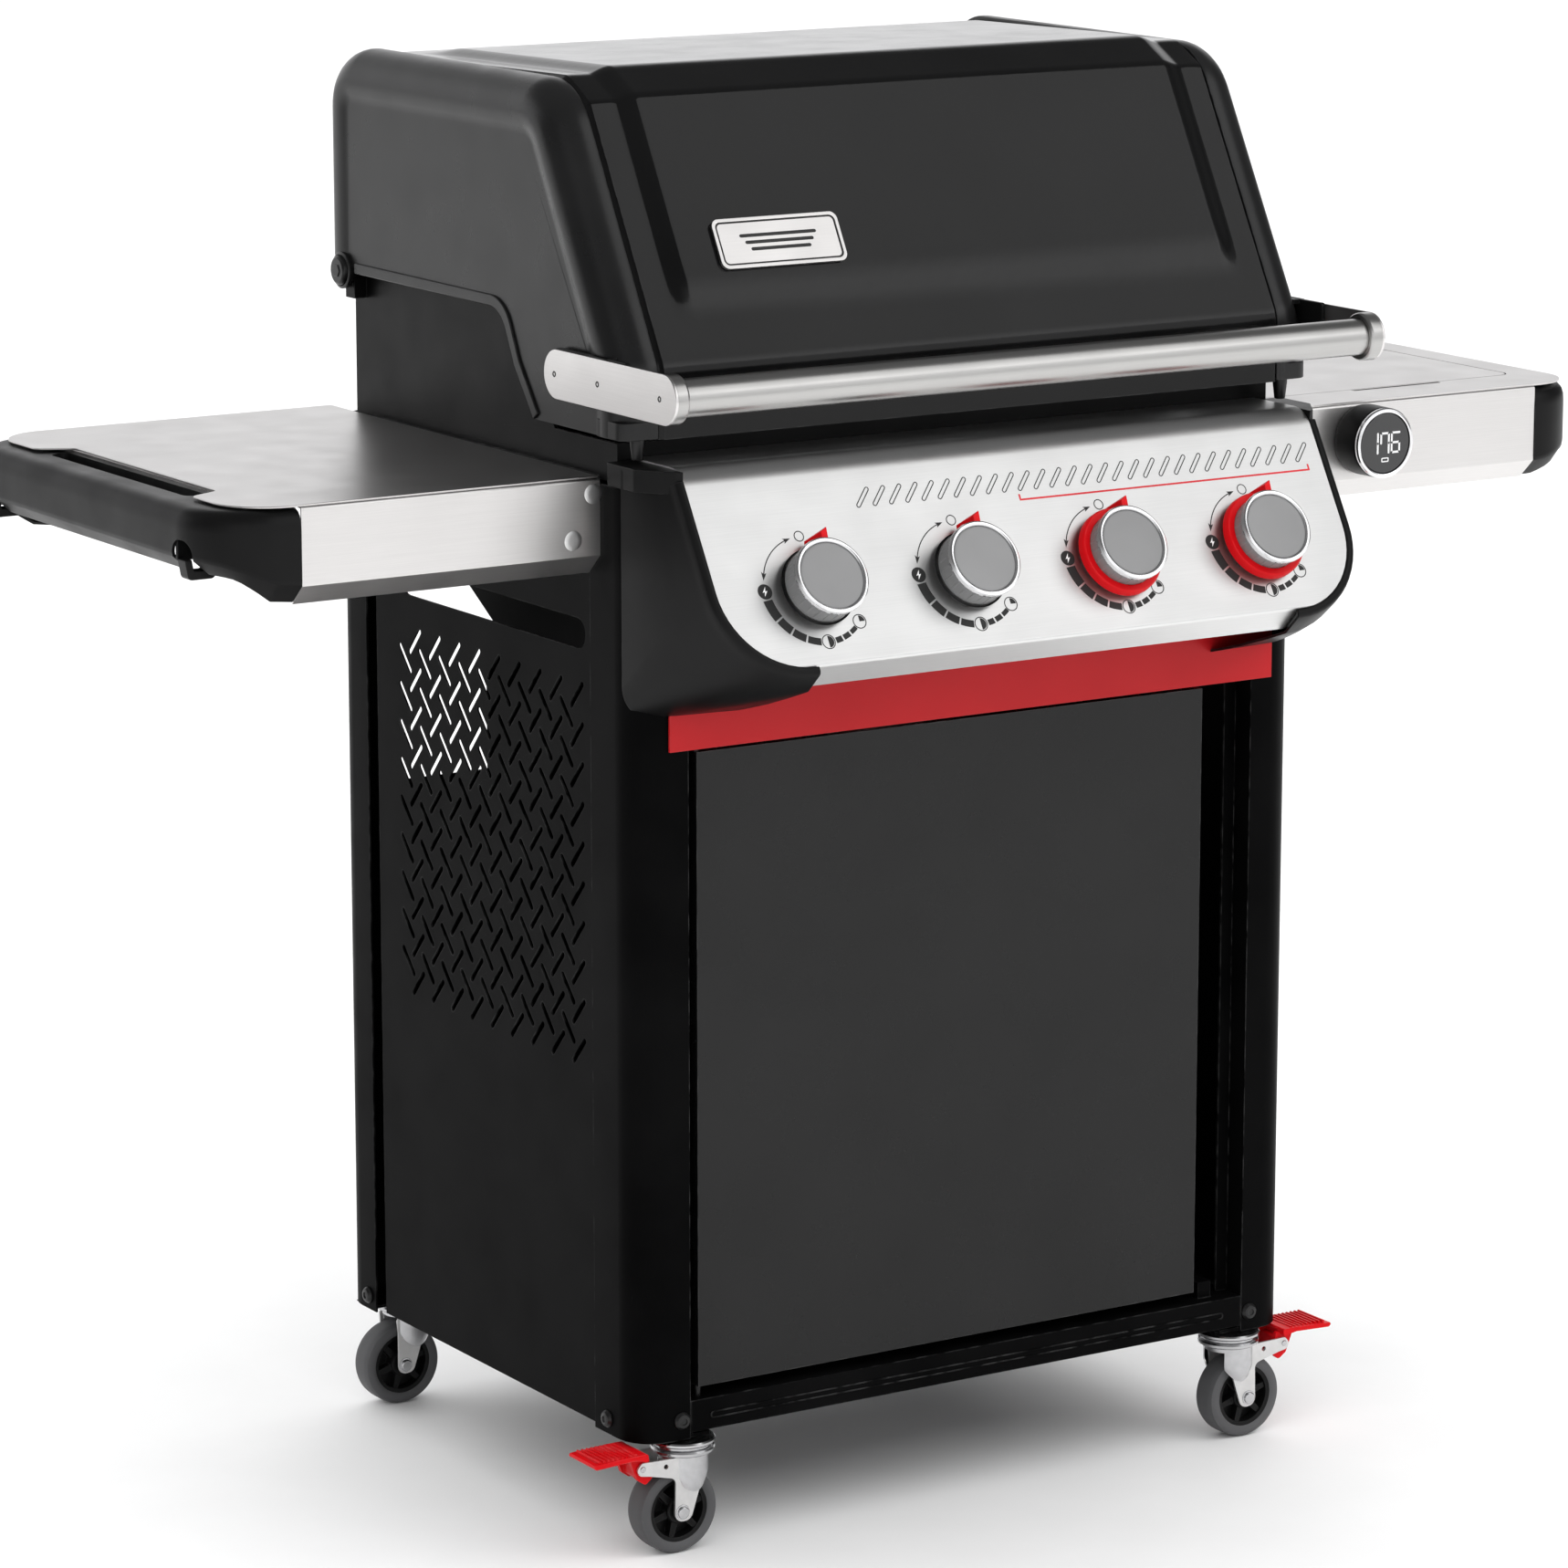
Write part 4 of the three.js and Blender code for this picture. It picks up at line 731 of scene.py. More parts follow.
def pedal(key, sx, cx, cy):
    """Ribbed red tread plate over a shoe that bears on the wheel."""
    plane = lambda u, v, w: plane_y(cx + sx * u, v, cy + w)
    part = Part()
    top = rounded([(47, 86), (50, 90), (60, 91.5), (96, 90), (98, 92), (97, 94), (60, 95.5), (45, 95.5)],
                  [2, 4, 6, 2, 1, 1, 6, 2], True, 4)
    part.prism(plane, top, -21, 21)
    for k in range(9):
        u = 56 + 4.4 * k
        rib = [(u - 1.3, 94.2), (u + 1.3, 94.2), (u + 0.9, 96.4), (u - 0.9, 96.4)]
        part.prism(plane, rounded(rib, 0.5, True, 2), -18.5, 18.5)
    shoe = rounded([(38, 72), (45, 66.5), (53, 72), (60, 90), (42, 92)], [3, 3, 4, 2, 2], True, 4)
    for w0 in (-14.6, 10.6):
        part.prism(plane, shoe, w0, w0 + 4)
    part.prism(plane, rounded([(40, 73), (46, 68), (51, 73), (53, 88), (42, 88)], 2, True, 3), -11, 11)
    part.done(f"ribbed_pedal_{key}", "red", f"pedal_{key}",
              bevel=0.5, replaces=[f"brake_pedal_{key}"])


def casters():
    for sx, side in SIDES:
        for cy, end in CASTER_ROWS:
            key = f"{end}_{side}"
            braked = end == "front"
            wheel(key, sx * WHEEL_X, cy)
            fork(key, sx, sx * SWIVEL_X, cy, braked)
            if braked:
                pedal(key, sx, sx * SWIVEL_X, cy)


# ---------------------------------------------------------------- control panel
CORNER_STEPS = 14


def corner_angle(k):
    """The direction of step k round the lower corner on the +X side, from straight down to sideways."""
    return math.radians(-90 + 90 * k / CORNER_STEPS)


def panel_outline_arc(grow=0.0):
    """The lower corner of the stainless face on the +X side, from the bottom round to the side."""
    centre = (PANEL_HALF - PANEL_CORNER, -PANEL_HEIGHT + PANEL_CORNER)
    return [polar(*centre, PANEL_CORNER + grow, corner_angle(k)) for k in range(CORNER_STEPS + 1)]


def control_panel():
    """One sheet, rolled over at the top and folded under at the bottom."""
    top_z = 926
    rise = (top_z - PANEL_TOP[1]) * math.tan(PANEL_LEAN)
    low = plane_panel(0, -PANEL_HEIGHT, 0)
    line = [(-266, top_z), (PANEL_TOP[0] + rise, top_z), (low[1], low[2]), (-411, 753)]
    sheet = Part().bent(plane_x, line, [0, 27, 3.5, 0], 1.6, -PANEL_HALF, PANEL_HALF, 10)
    cutters = []
    for side, _ in SIDES:
        arc = [(side * u, v) for u, v in panel_outline_arc()]
        outside = [(side * 330, arc[-1][1]), (side * 330, -240), (arc[0][0], -240)]
        cutters.append(Part().prism(plane_panel, arc + outside, -60, 30))
    for x in KNOB_X:
        cutters.append(Part().prism(plane_panel, circle(x, KNOB_V, 6.5, 24), -9, 9))
    sheet.done("stainless_control_panel", "panel", "cart", bevel=0.4,
               cutters=cutters, replaces=["control_panel"])


def panel_cap(side, name):
    """End housing: a skin from the rim round the stainless face back to the cart."""
    start_x, rear_y, rear_z, rear_corner = 238.5, -292, 744, 30
    arc = panel_outline_arc(0.6)
    path = [(start_x, arc[0][1])] + arc
    path += [(PANEL_HALF + 0.6, v) for v in (-88, -70, -50, -30, -14, -4)]
    last_turn, rim = CORNER_STEPS + 1, len(path)

    def downward(k):
        """1 along the bottom of the rim, fading to 0 round the corner."""
        return 1.0 if k <= 1 else max(0.0, 1 - (k - 1) / CORNER_STEPS)

    rear = [(start_x, rear_y, rear_z - 32)]
    for k in range(1, last_turn + 1):
        x, z = polar(309, rear_z, rear_corner, corner_angle(k - 1))
        rear.append((x, rear_y, z))
    for k in range(last_turn + 1, rim):
        rear.append((339, rear_y, rear_z + 178 * ((k - last_turn) / (rim - 1 - last_turn))))
    rows = []
    for grow, w in ((0.0, -2.0), (0.0, 0.8), (1.2, 1.6), (4.0, 1.4), (6.2, 0.2), (7.2, -2.0), (8.0, -6.0)):
        row = []
        for k, (u, v) in enumerate(path):
            if k <= 1:
                u, v = u, v - grow
            elif k <= last_turn:
                u, v = polar(u, v, grow, corner_angle(k - 1))
            else:
                u += grow
            row.append(plane_panel(u, v, w))
        rows.append(row)
    lip = []
    for k, (x, y, z) in enumerate(rows[-1]):
        down, aside = downward(k), 1 - downward(k)
        lip.append((x + 1.0 * aside, y + 14 * down + 6 * aside, z - 13 * down - 1 * aside))
    rows.append(lip)
    for share in (0.25, 0.5, 0.75, 1.0):
        bulge = math.sin(math.pi * share) * 3.0
        row = []
        for k, (p, q) in enumerate(zip(lip, rear)):
            x, y, z = [p[i] + (q[i] - p[i]) * share for i in range(3)]
            row.append((x + bulge * (1 - downward(k)), y, z - bulge * downward(k) * 0.6))
        rows.append(row)
    cap = Part().loft([[(side * x, y, z) for x, y, z in row] for row in rows])
    cap.done(f"panel_housing_{name}", "plastic", "cart", solid=2.2,
             replaces=[f"panel_cap_{name}"], angle=50)
    outline = rounded([(312.6, -346), (318, -343), (338.5, -312), (338.5, -268), (312.6, -268)],
                      [0.5, 5, 6, 3, 0.5], True, 4)
    top = Part().prism(plane_z, [(side * u, v) for u, v in outline], 906, 924.6)
    top.done(f"housing_shoulder_{name}", "plastic", "cart", bevel=1.6, segments=3)


def dial_marks():
    """Printed marks round each knob and the row of slanted outlines, without any lettering."""
    ink, red, white = Part(), Part(), Part()
    flash = [(1.3, 4.2), (-2.4, -0.6), (-0.3, -0.3), (-1.3, -4.2), (2.4, 0.6), (0.3, 0.3)]
    arrow = [(3.4, 0), (-3.8, 2.3), (-2.2, 0), (-3.8, -2.3)]
    # blocks of the flame scale, as (first angle, last angle, width), shrinking toward the low flame
    blocks = [(187, 208.5, 8.6), (210.5, 226.5, 7.6), (228.5, 243.5, 6.8), (245.5, 260.5, 6.2),
              (278, 286, 5.0), (288, 297, 4.6), (299, 308, 4.0)]

    def shifted(points, centre):
        return [(centre[0] + p, centre[1] + q) for p, q in points]

    for knob_x in KNOB_X:
        x, v = knob_x - 0.4, KNOB_V + 0.7

        def around(degrees, radius=DIAL_RADIUS):
            return polar(x, v, radius, math.radians(degrees))

        off = around(89.5)
        ink.prism(plane_panel, circle(*off, 4.7), *PRINT, [circle(*off, 3.9)])
        spark = around(177.5)
        ink.prism(plane_panel, circle(*spark, 6.6), *PRINT)
        white.prism(plane_panel, shifted(flash, spark), PRINT[1], PRINT[1] + 0.08)
        ink.prism(plane_panel, arc_band(x, v, 45.1, 46.0, 108, 158, 16), *PRINT)
        for degrees, turn in ((105, 1), (161, -1)):
            heading = math.radians(degrees) - turn * math.pi / 2
            ink.prism(plane_panel, shifted(rotated(arrow, heading), around(degrees, 45.5)), *PRINT)
        for a0, a1, width in blocks:
            band = arc_band(x, v, DIAL_RADIUS - width / 2, DIAL_RADIUS + width / 2, a0, a1)
            ink.prism(plane_panel, band, *PRINT)
        for degrees, share in ((269, 0.5), (316.3, 0.25)):
            at = around(degrees)
            ink.prism(plane_panel, circle(*at, 6.3), *PRINT, [circle(*at, 5.5)])
            wedge = [at] + arc_band(*at, 0.1, 5.0, 90 - 360 * share, 90, 14)[:15]
            ink.prism(plane_panel, wedge, *PRINT)
    for k in range(29):
        u = -150.8 + 15.86 * k
        outer, inner = [capsule(u - 6.0, -39.0, u + 6.0, -25.6, radius, 4) for radius in (2.1, 1.25)]
        ink.prism(plane_panel, outer, *PRINT, [inner])
    left, right, low, half, tick = -0.8, 296, -48.6, 0.8, 5
    bar = [(left - half, low - half), (right + half, low - half), (right + half, low + tick),
           (right - half, low + tick), (right - half, low + half), (left + half, low + half),
           (left + half, low + tick), (left - half, low + tick)]
    red.prism(plane_panel, bar, *PRINT)
    ink.done("dial_marks", "ink", "cart", smooth=False)
    white.done("dial_sparks", "white_ink", "cart", smooth=False)
    red.done("zone_bracket", "red_ink", "cart", smooth=False)


def knobs():
    """Each knob: silver core with grip ribs, chrome ring, red pointer, and a red bezel on the hot knobs or a
    thin black ring of painted shadow at the base of the others.
    """
    core_profile = [(4.4, 7.2), (30.6, 7.2), (31.2, 9), (31.2, 25.2), (30.4, 26.2), (29, 26.2), (28.4, 30.4),
                    (26.6, 30.8), (0, 30.8), (0, 17), (4.4, 17)]
    ring_profile = [(28.4, 30.2), (28.8, 31.6), (29.8, 32.2), (31.4, 32.2), (32.6, 31.4), (32.9, 30),
                    (32.7, 27.2), (31.6, 26.2), (29, 26.2)]
    rib = [(30.6, -1.1), (31.6, -0.8), (31.6, 0.8), (30.6, 1.1)]
    # the red bezel or black ring of painted shadow, and the pointer, stay clear of the panel when the knob is
    # pushed in by 5 mm
    bezel_or_shadow_ring_w, pointer_w = 5.7, 5.9
    for n, x in enumerate(KNOB_X):
        body, number = f"knob_{n + 1}", n + 1
        hot = n > 1
        plane = lambda u, v, w: plane_panel(x + u, KNOB_V + v, w)
        core = Part().lathe(plane, 0, 0, core_profile, 72)
        for k in range(24):
            core.prism(plane, rotated(rib, math.radians(15 * k)), 11, 24)
        core.done(f"knob_core_{number}", "knob", body, bevel=0.3, replaces=[body])
        ring = Part().lathe(plane, 0, 0, ring_profile, 72)
        ring.done(f"knob_ring_{number}", "chrome", body, slot="knob")
        # on the cold knobs this thin black plastic ring is painted shadow, standing in for the shade at the
        # knob's base; on the hot knobs it is the real red bezel
        outer, height = (38.4, 14.5) if hot else (33.4, 7.8)
        bezel_or_shadow_ring = Part()
        bezel_or_shadow_ring.lathe(plane, 0, 0, [(31.4, bezel_or_shadow_ring_w), (outer - 1.2, bezel_or_shadow_ring_w), (outer, bezel_or_shadow_ring_w + 1),
                                  (outer - 0.3, height - 2.4), (outer - 1.8, height), (31.4, height)], 72)
        bezel_or_shadow_ring.done(f"knob_bezel_or_shadow_ring_{number}", "red" if hot else "plastic", body, bevel=0.4)
        foot = [plane(u, v, pointer_w) for u, v in ((-2.5, 30), (-1.2, 39.5), (6.0, 41), (5.5, 30))]
        nose = [plane(u, v, 29) for u, v in ((1.5, 30), (2.6, 38.6), (9.2, 42.6), (7.6, 30))]
        fin = Part().loft([foot, nose], wrap=True, ends=True)
        fin.done(f"knob_pointer_{number}", "red", body, bevel=0.8)
        dress(f"valve_stem_{number}", "brass", 0.2)


# ---------------------------------------------------------------- lid
def lid_face_y(z, behind):
    """Where the lid's leaning face is at a height, moved back by some depth."""
    return LID_BREAK[0] + (z - LID_BREAK[1]) * LID_LEAN + behind


def shell_profile():
    """The shell's outline at its ends, in (y, z), from the rear edge over the top to the lower edge."""
    depth, rear, longest = 4, 203.5, 9
    corners = [(rear, 1046), (rear, 1216), (-154, 1223), (lid_face_y(1205, depth), 1205),
               (LID_BREAK[0] + depth, LID_BREAK[1]), (LID_BREAK[0] + depth, 945)]
    line = rounded(corners, [0, 46, 20, 8, 26, 0], False, 8)
    out = []
    for a, b in zip(line, line[1:]):
        pieces = max(1, round(math.dist(a, b) / longest))
        out += [(a[0] + (b[0] - a[0]) * k / pieces, a[1] + (b[1] - a[1]) * k / pieces) for k in range(pieces)]
    return out + [line[-1]]


def lid_shell():
    """One skin: its middle stands proud of the strips next to the castings, down to the break line."""
    base = shell_profile()
    proud, tucked, field = 3.2, -2.4, 5.6
    edges = [-2.6, 0, 0.8, 3, 7, 12, 20, 23.5, 25, 27, 30, 34, 38, 42, 44, 45.5, 48]
    columns = [SHELL_HALF - e for e in edges]
    inner = [columns[-1] - k * (columns[-1] / 12) for k in range(1, 12)]
    right = columns + inner
    rows = []
    for x in [-x for x in right] + [0] + right[::-1]:
        away = SHELL_HALF - abs(x)
        row = []
        for i, (y, z) in enumerate(base):
            a = Vector(base[max(0, i - 1)])
            b = Vector(base[min(len(base) - 1, i + 1)])
            along = (b - a).normalized()
            out = Vector((along.y, -along.x))
            if out.dot(Vector((y + 20, z - 1060))) < 0:
                out = -out
            height = proud * smoothstep(0, 3.5, away) if away >= 0 else tucked
            raised = smoothstep(1034, 1070, z) * smoothstep(150, 90, y)
            height += field * raised * smoothstep(23.5, 44.5, away)
            row.append((x, y + out.x * height, z + out.y * height))
        rows.append(row)
    Part().loft(rows).done("enamel_lid_shell", "enamel", "lid", solid=1.8,
                           replaces=["lid_shell"], angle=40)


def casting_line(inset, foot=900):
    """The end casting's outline in (y, z), from the rear foot over the top to the front foot."""
    rear, top, front = 204.8, 1224.5, LID_BREAK[0] + 3
    corners = [(rear, foot), (rear, top), (lid_face_y(top, 2), top), (front, LID_BREAK[1]),
               (front + 0.5, foot)]
    line = rounded(corners, [0, 50, 64, 40, 0], False, 12)
    return offset_line(line, inset) if inset else line


def lid_castings():
    """Rolled rims with a flat side field, open inside and below, with hinge bosses and rest feet."""
    stations = [(2.0, 308.7), (0.6, 309.4), (0, 311.5), (0, 317), (0.7, 321.5), (2.4, 326.5), (5, 331),
                (8.6, 335.4), (13.2, 339.2), (18.6, 342.2), (24, 343.9), (30, 344), (35, 343.6), (39, 342.2),
                (42, 341.2), (45, 341), (47, 341)]
    hollow = [(5, 300), (5, 317), (7, 324), (11.5, 331), (18, 336), (26, 338.4), (46, 337.6)]
    lower = rounded([(-420, 840), (-420, 945.5), (-158, 946), (-127, 987), (-105, 1032), (150, 1033),
                     (162, 1046), (320, 1046), (320, 840)], [0, 0, 8, 26, 30, 6, 6, 0, 0], True, 8)
    lip = [(150, 1033), (-105, 1032), (-127, 987), (-158, 946)]
    lip_inner = rounded(lip, [0, 30, 26, 0], False, 8)
    lip_outer = rounded(offset_line(lip, -9), [0, 36, 20, 0], False, 8)
    for side, name in SIDES:
        out = facing(plane_x, 0, side)
        rows = [[(side * x, y, z) for y, z in casting_line(inset)] for inset, x in stations]
        part = Part().loft(rows, wrap=True, ends=True)
        rows = [[(side * x, y, z) for y, z in casting_line(inset, 880)] for inset, x in hollow]
        inside = Part().loft(rows, wrap=True, ends=True)
        below = Part().prism(plane_x, lower, side * 200, side * 400)
        part.done(f"lid_end_{name}", "casting", "lid", bevel=1.1, angle=44,
                  cutters=[below, inside], replaces=[f"lid_casting_{name}"])
        bead = Part().prism(plane_x, lip_inner + lip_outer[::-1], side * 340.5, side * 343.2)
        bead.done(f"lid_lip_{name}", "casting", "lid", bevel=1.0)
        lug = Part()
        lug.lathe(out, *HINGE, [(6, 339.5), (15.5, 339.5), (16, 341), (16, 344.4), (14.5, 345.2),
                                (13.5, 345.2), (13, 344.2), (6, 344.2)], 48)
        lug.done(f"hinge_boss_{name}", "casting", "lid", bevel=0.3)
        pin = Part()
        pin.lathe(out, *HINGE, [(0, 349), (10.5, 349), (12.5, 347.6), (13, 345.6), (13, 344.6), (5, 344.6),
                                (5, 327), (0, 327)], 48)
        pin.prism(out, circle(*HINGE, 6, 6), 348.5, 350)
        pin.done(f"hinge_bolt_{name}", "casting", "lid", bevel=0.4,
                 replaces=[f"lid_hinge_pin_{name}"])
        foot = Part()
        x0, x1 = sorted((side * 309.2, side * 343.6))
        radii = [0, 0, 12, 1] if side > 0 else [0, 0, 1, 12]
        pad = rounded([(x0, -262), (x1, -262), (x1, -302.6), (x0, -302.6)], radii, True, 6)
        foot.prism(plane_z, pad, 945.5, 960)
        peg = [(0, 946), (6.2, 946), (6.2, 941), (4.6, 927.5), (0, 927.5)]
        foot.lathe(plane_z, side * 322, -290, peg, 28)
        foot.done(f"lid_foot_{name}", "casting", "lid", bevel=0.8)


def lid_handle():
    """Steel tube between two flat brackets, each on a black backing against its casting."""
    y, z = HANDLE
    r, half, tip = HANDLE_RADIUS, 337, 20.5
    tube = Part().lathe(plane_x, y, z, [(0, -half), (r, -half), (r, half), (0, half)], 72)
    tube.done("handle_tube", "handle", "lid", replaces=["lid_handle"])
    collar = [(r, 337.2), (18.8, 337.2), (20, 338.4), (20.4, 340), (20.4, 349), (0, 349), (0, 340), (r, 340)]
    stadium = rounded(rectangle(y - tip, -190, z - tip, z + tip), 20.4, True, 14)
    backing = rounded(rectangle(-318, -189, z - 21.5, z + 21.5), [3, 21, 21, 3], True, 8)
    screw_head = [(0, 350.6), (1.2, 350.6), (1.4, 351.3), (2.2, 351.4), (2.7, 350.9), (2.7, 350.2),
                  (0, 350.2)]
    for side, name in SIDES:
        out = facing(plane_x, 0, side)
        part = Part().lathe(out, y, z, collar, 72)
        part.done(f"handle_collar_{name}", "handle", "lid", bevel=0.5)
        plate = Part().prism(out, stadium, 348.4, 351)
        plate.done(f"handle_plate_{name}", "steel_y", "lid", bevel=0.7, segments=3,
                   replaces=[f"handle_bracket_{name}"])
        back = Part().prism(out, backing, 344.4, 348.3)
        back.box(*sorted((side * 338, side * 350)), -286, -262, z + 17.5, z + 21.5)
        back.done(f"handle_backing_{name}", "plastic", "lid", bevel=0.6)
        screws = Part()
        for u in (-207, -276, -373):
            screws.lathe(out, u, z, screw_head, 20)
        screws.done(f"handle_screws_{name}", "casting", "lid", slot="stainless")


def badge():
    """A plain framed plate on the lid's face."""
    left, right, half = -231, -110, 22

    def on_face(u, v, w):
        y0, z0 = -261.6, 1092
        c, s = math.cos(LID_ANGLE), math.sin(LID_ANGLE)
        return (u, y0 + s * v - c * w, z0 + c * v + s * w)

    def inner(margin, radius):
        """The plate's outline, set in by a margin."""
        return rectangle(left + margin, right - margin, margin - half, half - margin, radius, 6)

    plate = Part().prism(on_face, inner(0, 7), 0.5, 3.6, [inner(3, 5)])
    plate.prism(on_face, inner(4.4, 4), 0.5, 3.2)
    plate.done("badge_plate", "steel", "lid", bevel=0.5)
    inset = Part().prism(on_face, inner(2.6, 5.4), 0.5, 2.5, [inner(4.6, 3.8)])
    for k in range(3):
        v = 6 - 6 * k
        inset.prism(on_face, capsule(-206 + 4 * k, v, -135 - 4 * k, v, 1.5), 3.1, 3.35)
    inset.done("badge_inset", "ink", "lid", slot="enamel", bevel=0.1)


# ---------------------------------------------------------------- firebox and inside
def firebox():
    finishes = [("firebox", "box", 1.6), *[(f"burner_{n}", "burner", 0.4) for n in range(1, 5)],
                ("gas_manifold", "brass", 0.3), ("heat_bars", "burner", 0.4), ("grate_left", "iron", 1.2),
                ("grate_right", "iron", 1.2), ("warming_rack", "zinc", 0.4), ("grease_tray", "cart", 0.5),
                ("drip_pan", "aluminium", 0.5)]
    for node, material, bevel in finishes:
        dress(node, material, bevel)


# ---------------------------------------------------------------- side tables
def cap_rows(side, seam, apron, corner):
    """Rows of the end cap's skin, from the top skin over the rolled edge down to the turned-in lip."""
    front, rear = TABLE_FRONT - 1, TABLE_REAR + 1
    rings = [(61, 908.4), (30, 908.8), (16, 909.2), (10, 908.6), (5.5, 906.6), (2.2, 903), (0.5, 898),
             (0, 892), (0, apron + 4), (0.6, apron)]
    rise = 22.0 if side < 0 else 10.0

    def outline(inset):
        radius = max(4, corner - inset)
        end = TABLE_END - inset
        return rounded(rectangle(seam, end, front + inset, rear - inset), [0, radius, radius, 0], True, 12)

    def reach(u):
        """0 at the seam, 1 at the cap's end, where its lower edge is higher."""
        return (u - seam) / (TABLE_END - seam)

    def shallow(u):
        return smoothstep(0.05, 1.0, reach(u))

    rows = []
    for inset, z in rings:
        low = z < apron + 5
        rows.append([(side * u, v, z + (rise * shallow(u) if low else 0)) for u, v in outline(inset)])
    lip = []
    for (u0, v0), (u1, v1) in zip(outline(0.6), outline(18)):
        share = smoothstep(0.25, 0.85, 1 - reach(u0))
        turn = max(share, 0.75 * shallow(u0))
        lip.append((side * (u0 + (u1 - u0) * turn), v0 + (v1 - v0) * turn,
                    apron + rise * shallow(u0) - 15 * share - 12 * shallow(u0)))
    rows.append(lip)
    return rows


def table_sheet(side, seam, apron, plate_end, name, notch, holes):
    """Front and rear aprons with turned-in lips, and the top plate with rounded outer corners."""
    part = Part()
    x0, x1 = sorted((side * TABLE_START, side * seam))
    under = TABLE_TOP - 1.2
    for edge, way in ((TABLE_FRONT, 1), (TABLE_REAR, -1)):
        line = [(edge + 18 * way, apron - LIP_DEPTH), (edge, apron), (edge, under), (edge + 6 * way, under)]
        part.bent(plane_x, line, [0, 1.5, 3, 0], -1.4 * way, x0, x1, 5)
    part.done(f"table_aprons_{name}", "steel", "cart", bevel=0.3,
              replaces=[f"side_table_{name}"])
    front, rear = TABLE_FRONT + 2.5, TABLE_REAR - 2.5
    outline = [(TABLE_START, front), (plate_end, front), *notch, (plate_end, rear), (TABLE_START, rear)]
    radii = [0, 46] + [9] * len(notch) + [46, 0]
    leaf = [(side * u, v) for u, v in rounded(outline, radii, True, 8)]
    plate = Part().prism(plane_z, leaf, TABLE_TOP - 1.6, TABLE_TOP, holes)
    plate.done(f"table_top_{name}", "steel", "cart", bevel=0.5)


def left_table():
    """Plain top with a tool slot along its outer edge, and two towel hooks under arches of the cap."""
    apron, plate_end, hook_y = 847, 664, (-206, 150)
    notch = [(plate_end, -172), (TOOL_SLOT_X, -158), (TOOL_SLOT_X, 100), (plate_end, 116)]
    table_sheet(-1, 611, apron, plate_end, "left", notch, [])
    opening = rounded([(640, -160), (659, -150), (659, 96), (640, 108)], 6, True, 6)
    cutters = [Part().prism(plane_z, [(-u, v) for u, v in opening], 880, 930)]
    for y in hook_y:
        arch = rounded(rectangle(y - 14, y + 14, 820, 884), [0, 0, 12, 12], True, 6)
        cutters.append(Part().prism(plane_x, arch, -700, -660))
    part = Part().loft(cap_rows(-1, 611.4, apron, 60))
    part.done("table_end_left", "plastic", "cart", solid=2.6, angle=40,
              cutters=cutters, replaces=["table_cap_left"])
    hooks = Part()
    hook = rounded([(-664, 905), (-664, 852), (-688, 852), (-691, 868), (-685, 869), (-683, 859), (-671, 859),
                    (-671, 905)], [0, 4, 4, 1, 1, 2, 2, 0], True, 4)
    for y in hook_y:
        hooks.prism(plane_y, hook, y - 7, y + 7)
        hooks.box(-690, -660, y + 8, y + 12, 866, 900)
    hooks.done("towel_hooks", "plastic", "cart", bevel=0.8)
    ring = rounded([(-636, -166), (-662, -154), (-662, 100), (-636, 114)], 6, True, 4)
    hole = rounded([(-639.5, -161), (-659, -150.5), (-659, 96.5), (-639.5, 108.5)], 6, True, 4)
    sleeve = Part().prism(plane_z, ring, 868, 908.2, [hole])
    sleeve.done("tool_slot_sleeve", "plastic", "cart", bevel=0.4)
    bolts = Part()
    for x, z in ((-345, 898), (-364, 861)):
        bolts.screw(facing(plane_y, TABLE_FRONT, -1), x, z, 0, 8.2, 0.9, recess=False)
    bolts.done("table_rivets", "panel", "cart", bevel=0.2)


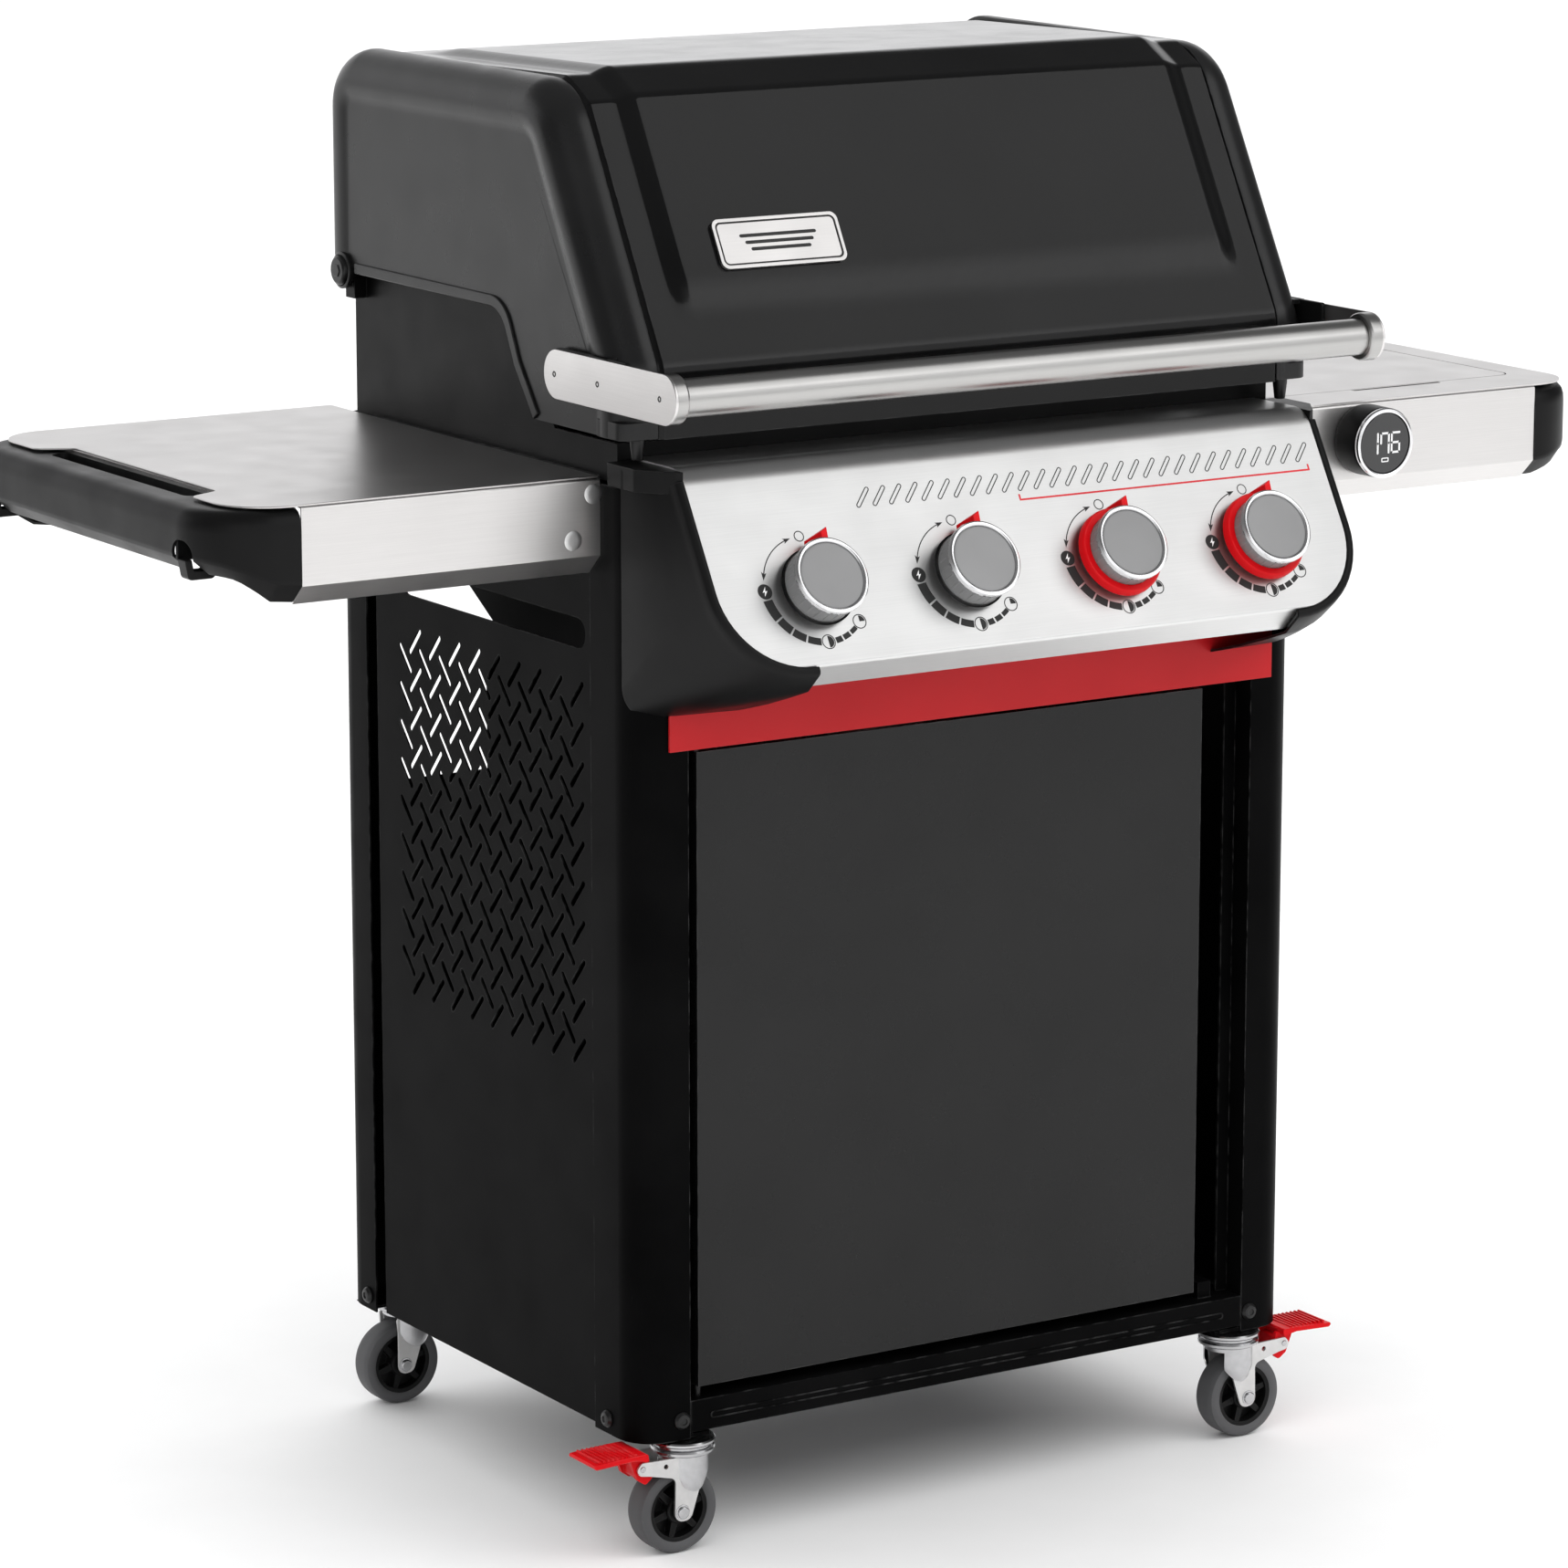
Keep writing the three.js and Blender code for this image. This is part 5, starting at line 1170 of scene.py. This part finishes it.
def right_table():
    """A flush cover over a storage well, with a finger notch at its front."""
    apron, gap = 843.5, 1.0
    x0, x1, y0, y1 = 372, 652, -197, 170
    hole = rounded([(x0 - gap, y0 - gap), (468, y0 - gap), (468, y0 - 8), (566, y0 - 8), (566, y0 - gap),
                    (x1 + gap, y0 - gap), (x1 + gap, y1 + gap), (x0 - gap, y1 + gap)],
                   [14, 1, 2, 2, 1, 14, 14, 14], True, 5)
    table_sheet(1, 630, apron, 684, "right", [], [hole])
    cap = Part().loft(cap_rows(1, 630.4, apron, 56))
    cap.done("table_end_right", "plastic", "cart", solid=2.6, angle=40,
             replaces=["table_cap_right"])
    strip = Part()
    strip.prism(plane_x, rectangle(197, 208, 911.9, 917, 1.2, 3), 346, 640)
    strip.done("table_rear_strip", "plastic", "cart", bevel=0.5)
    well = Part()
    well.prism(plane_z, rectangle(359, 666, -211, 182), 866, 910.2, [rectangle(362, 663, -208, 179)])
    well.box(359, 666, -211, 182, 866, 868)
    well.done("table_well", "steel", "cart", bevel=0.4)
    cover = Part().prism(plane_z, rectangle(x0, x1, y0, y1, 14, 6), 910.2, TABLE_TOP)
    cover.done("flush_cover", "steel", "cover", bevel=0.5, replaces=["table_cover"])


DIGIT_WIDTH = 8.4
DIGIT_HALF = 8.6
STROKES = {"a": ((-1, 2), (1, 2)), "b": ((1, 1), (1, 2)), "c": ((1, 0), (1, 1)), "d": ((-1, 0), (1, 0)),
           "e": ((-1, 0), (-1, 1)), "f": ((-1, 1), (-1, 2)), "g": ((-1, 1), (1, 1))}


def display():
    """Round temperature display with a chrome ring, a lit number and a battery outline."""
    x, z = DISPLAY
    out = facing(plane_y, TABLE_FRONT, -1)
    lit = (33.05, 33.2)
    body = Part().lathe(out, x, z, [(27.4, 32.4), (28.4, 32.4), (28.6, 31.4), (30.2, 30), (31, 27.5),
                                    (31.2, 5), (30.4, 0.4), (27.4, 0.4)], 72)
    body.done("display_body", "plastic", "cart", replaces=["display_housing"])
    ring = Part().lathe(out, x, z, [(27.2, 32.2), (27.2, 33.4), (28.2, 33.8), (30, 33.4), (31, 32),
                                    (30.8, 30.2), (28.6, 31.2)], 72)
    ring.done("display_ring", "chrome", "cart")
    face = Part().lathe(out, x, z, [(0, 33), (25.8, 33), (26.8, 32.2), (26.8, 27), (0, 27)], 72)
    face.done("display_face", "glass", "button", replaces=["display_button"])
    digits = Part()
    for offset, codes in ((-12.4, "bc"), (-0.4, "afbc"), (11.2, "acdefg")):
        for code in codes:
            ends = [(x + offset + u * DIGIT_WIDTH * 0.5, z - 8.4 + v * DIGIT_HALF) for u, v in STROKES[code]]
            digits.prism(out, capsule(*ends[0], *ends[1], 0.95, 4), *lit)
    digits.prism(out, rectangle(x - 4, x + 4, z - 16.6, z - 12.6, 1, 3), *lit,
                 [rectangle(x - 2.9, x + 2.9, z - 15.6, z - 13.6, 0.4, 3)])
    digits.done("display_digits", "white_ink", "button", slot="display", smooth=False)


make_stage()
side_panels()
cart_frame()
casters()
control_panel()
for side, name in SIDES:
    panel_cap(side, name)
dial_marks()
knobs()
lid_shell()
lid_castings()
lid_handle()
badge()
firebox()
left_table()
right_table()
display()
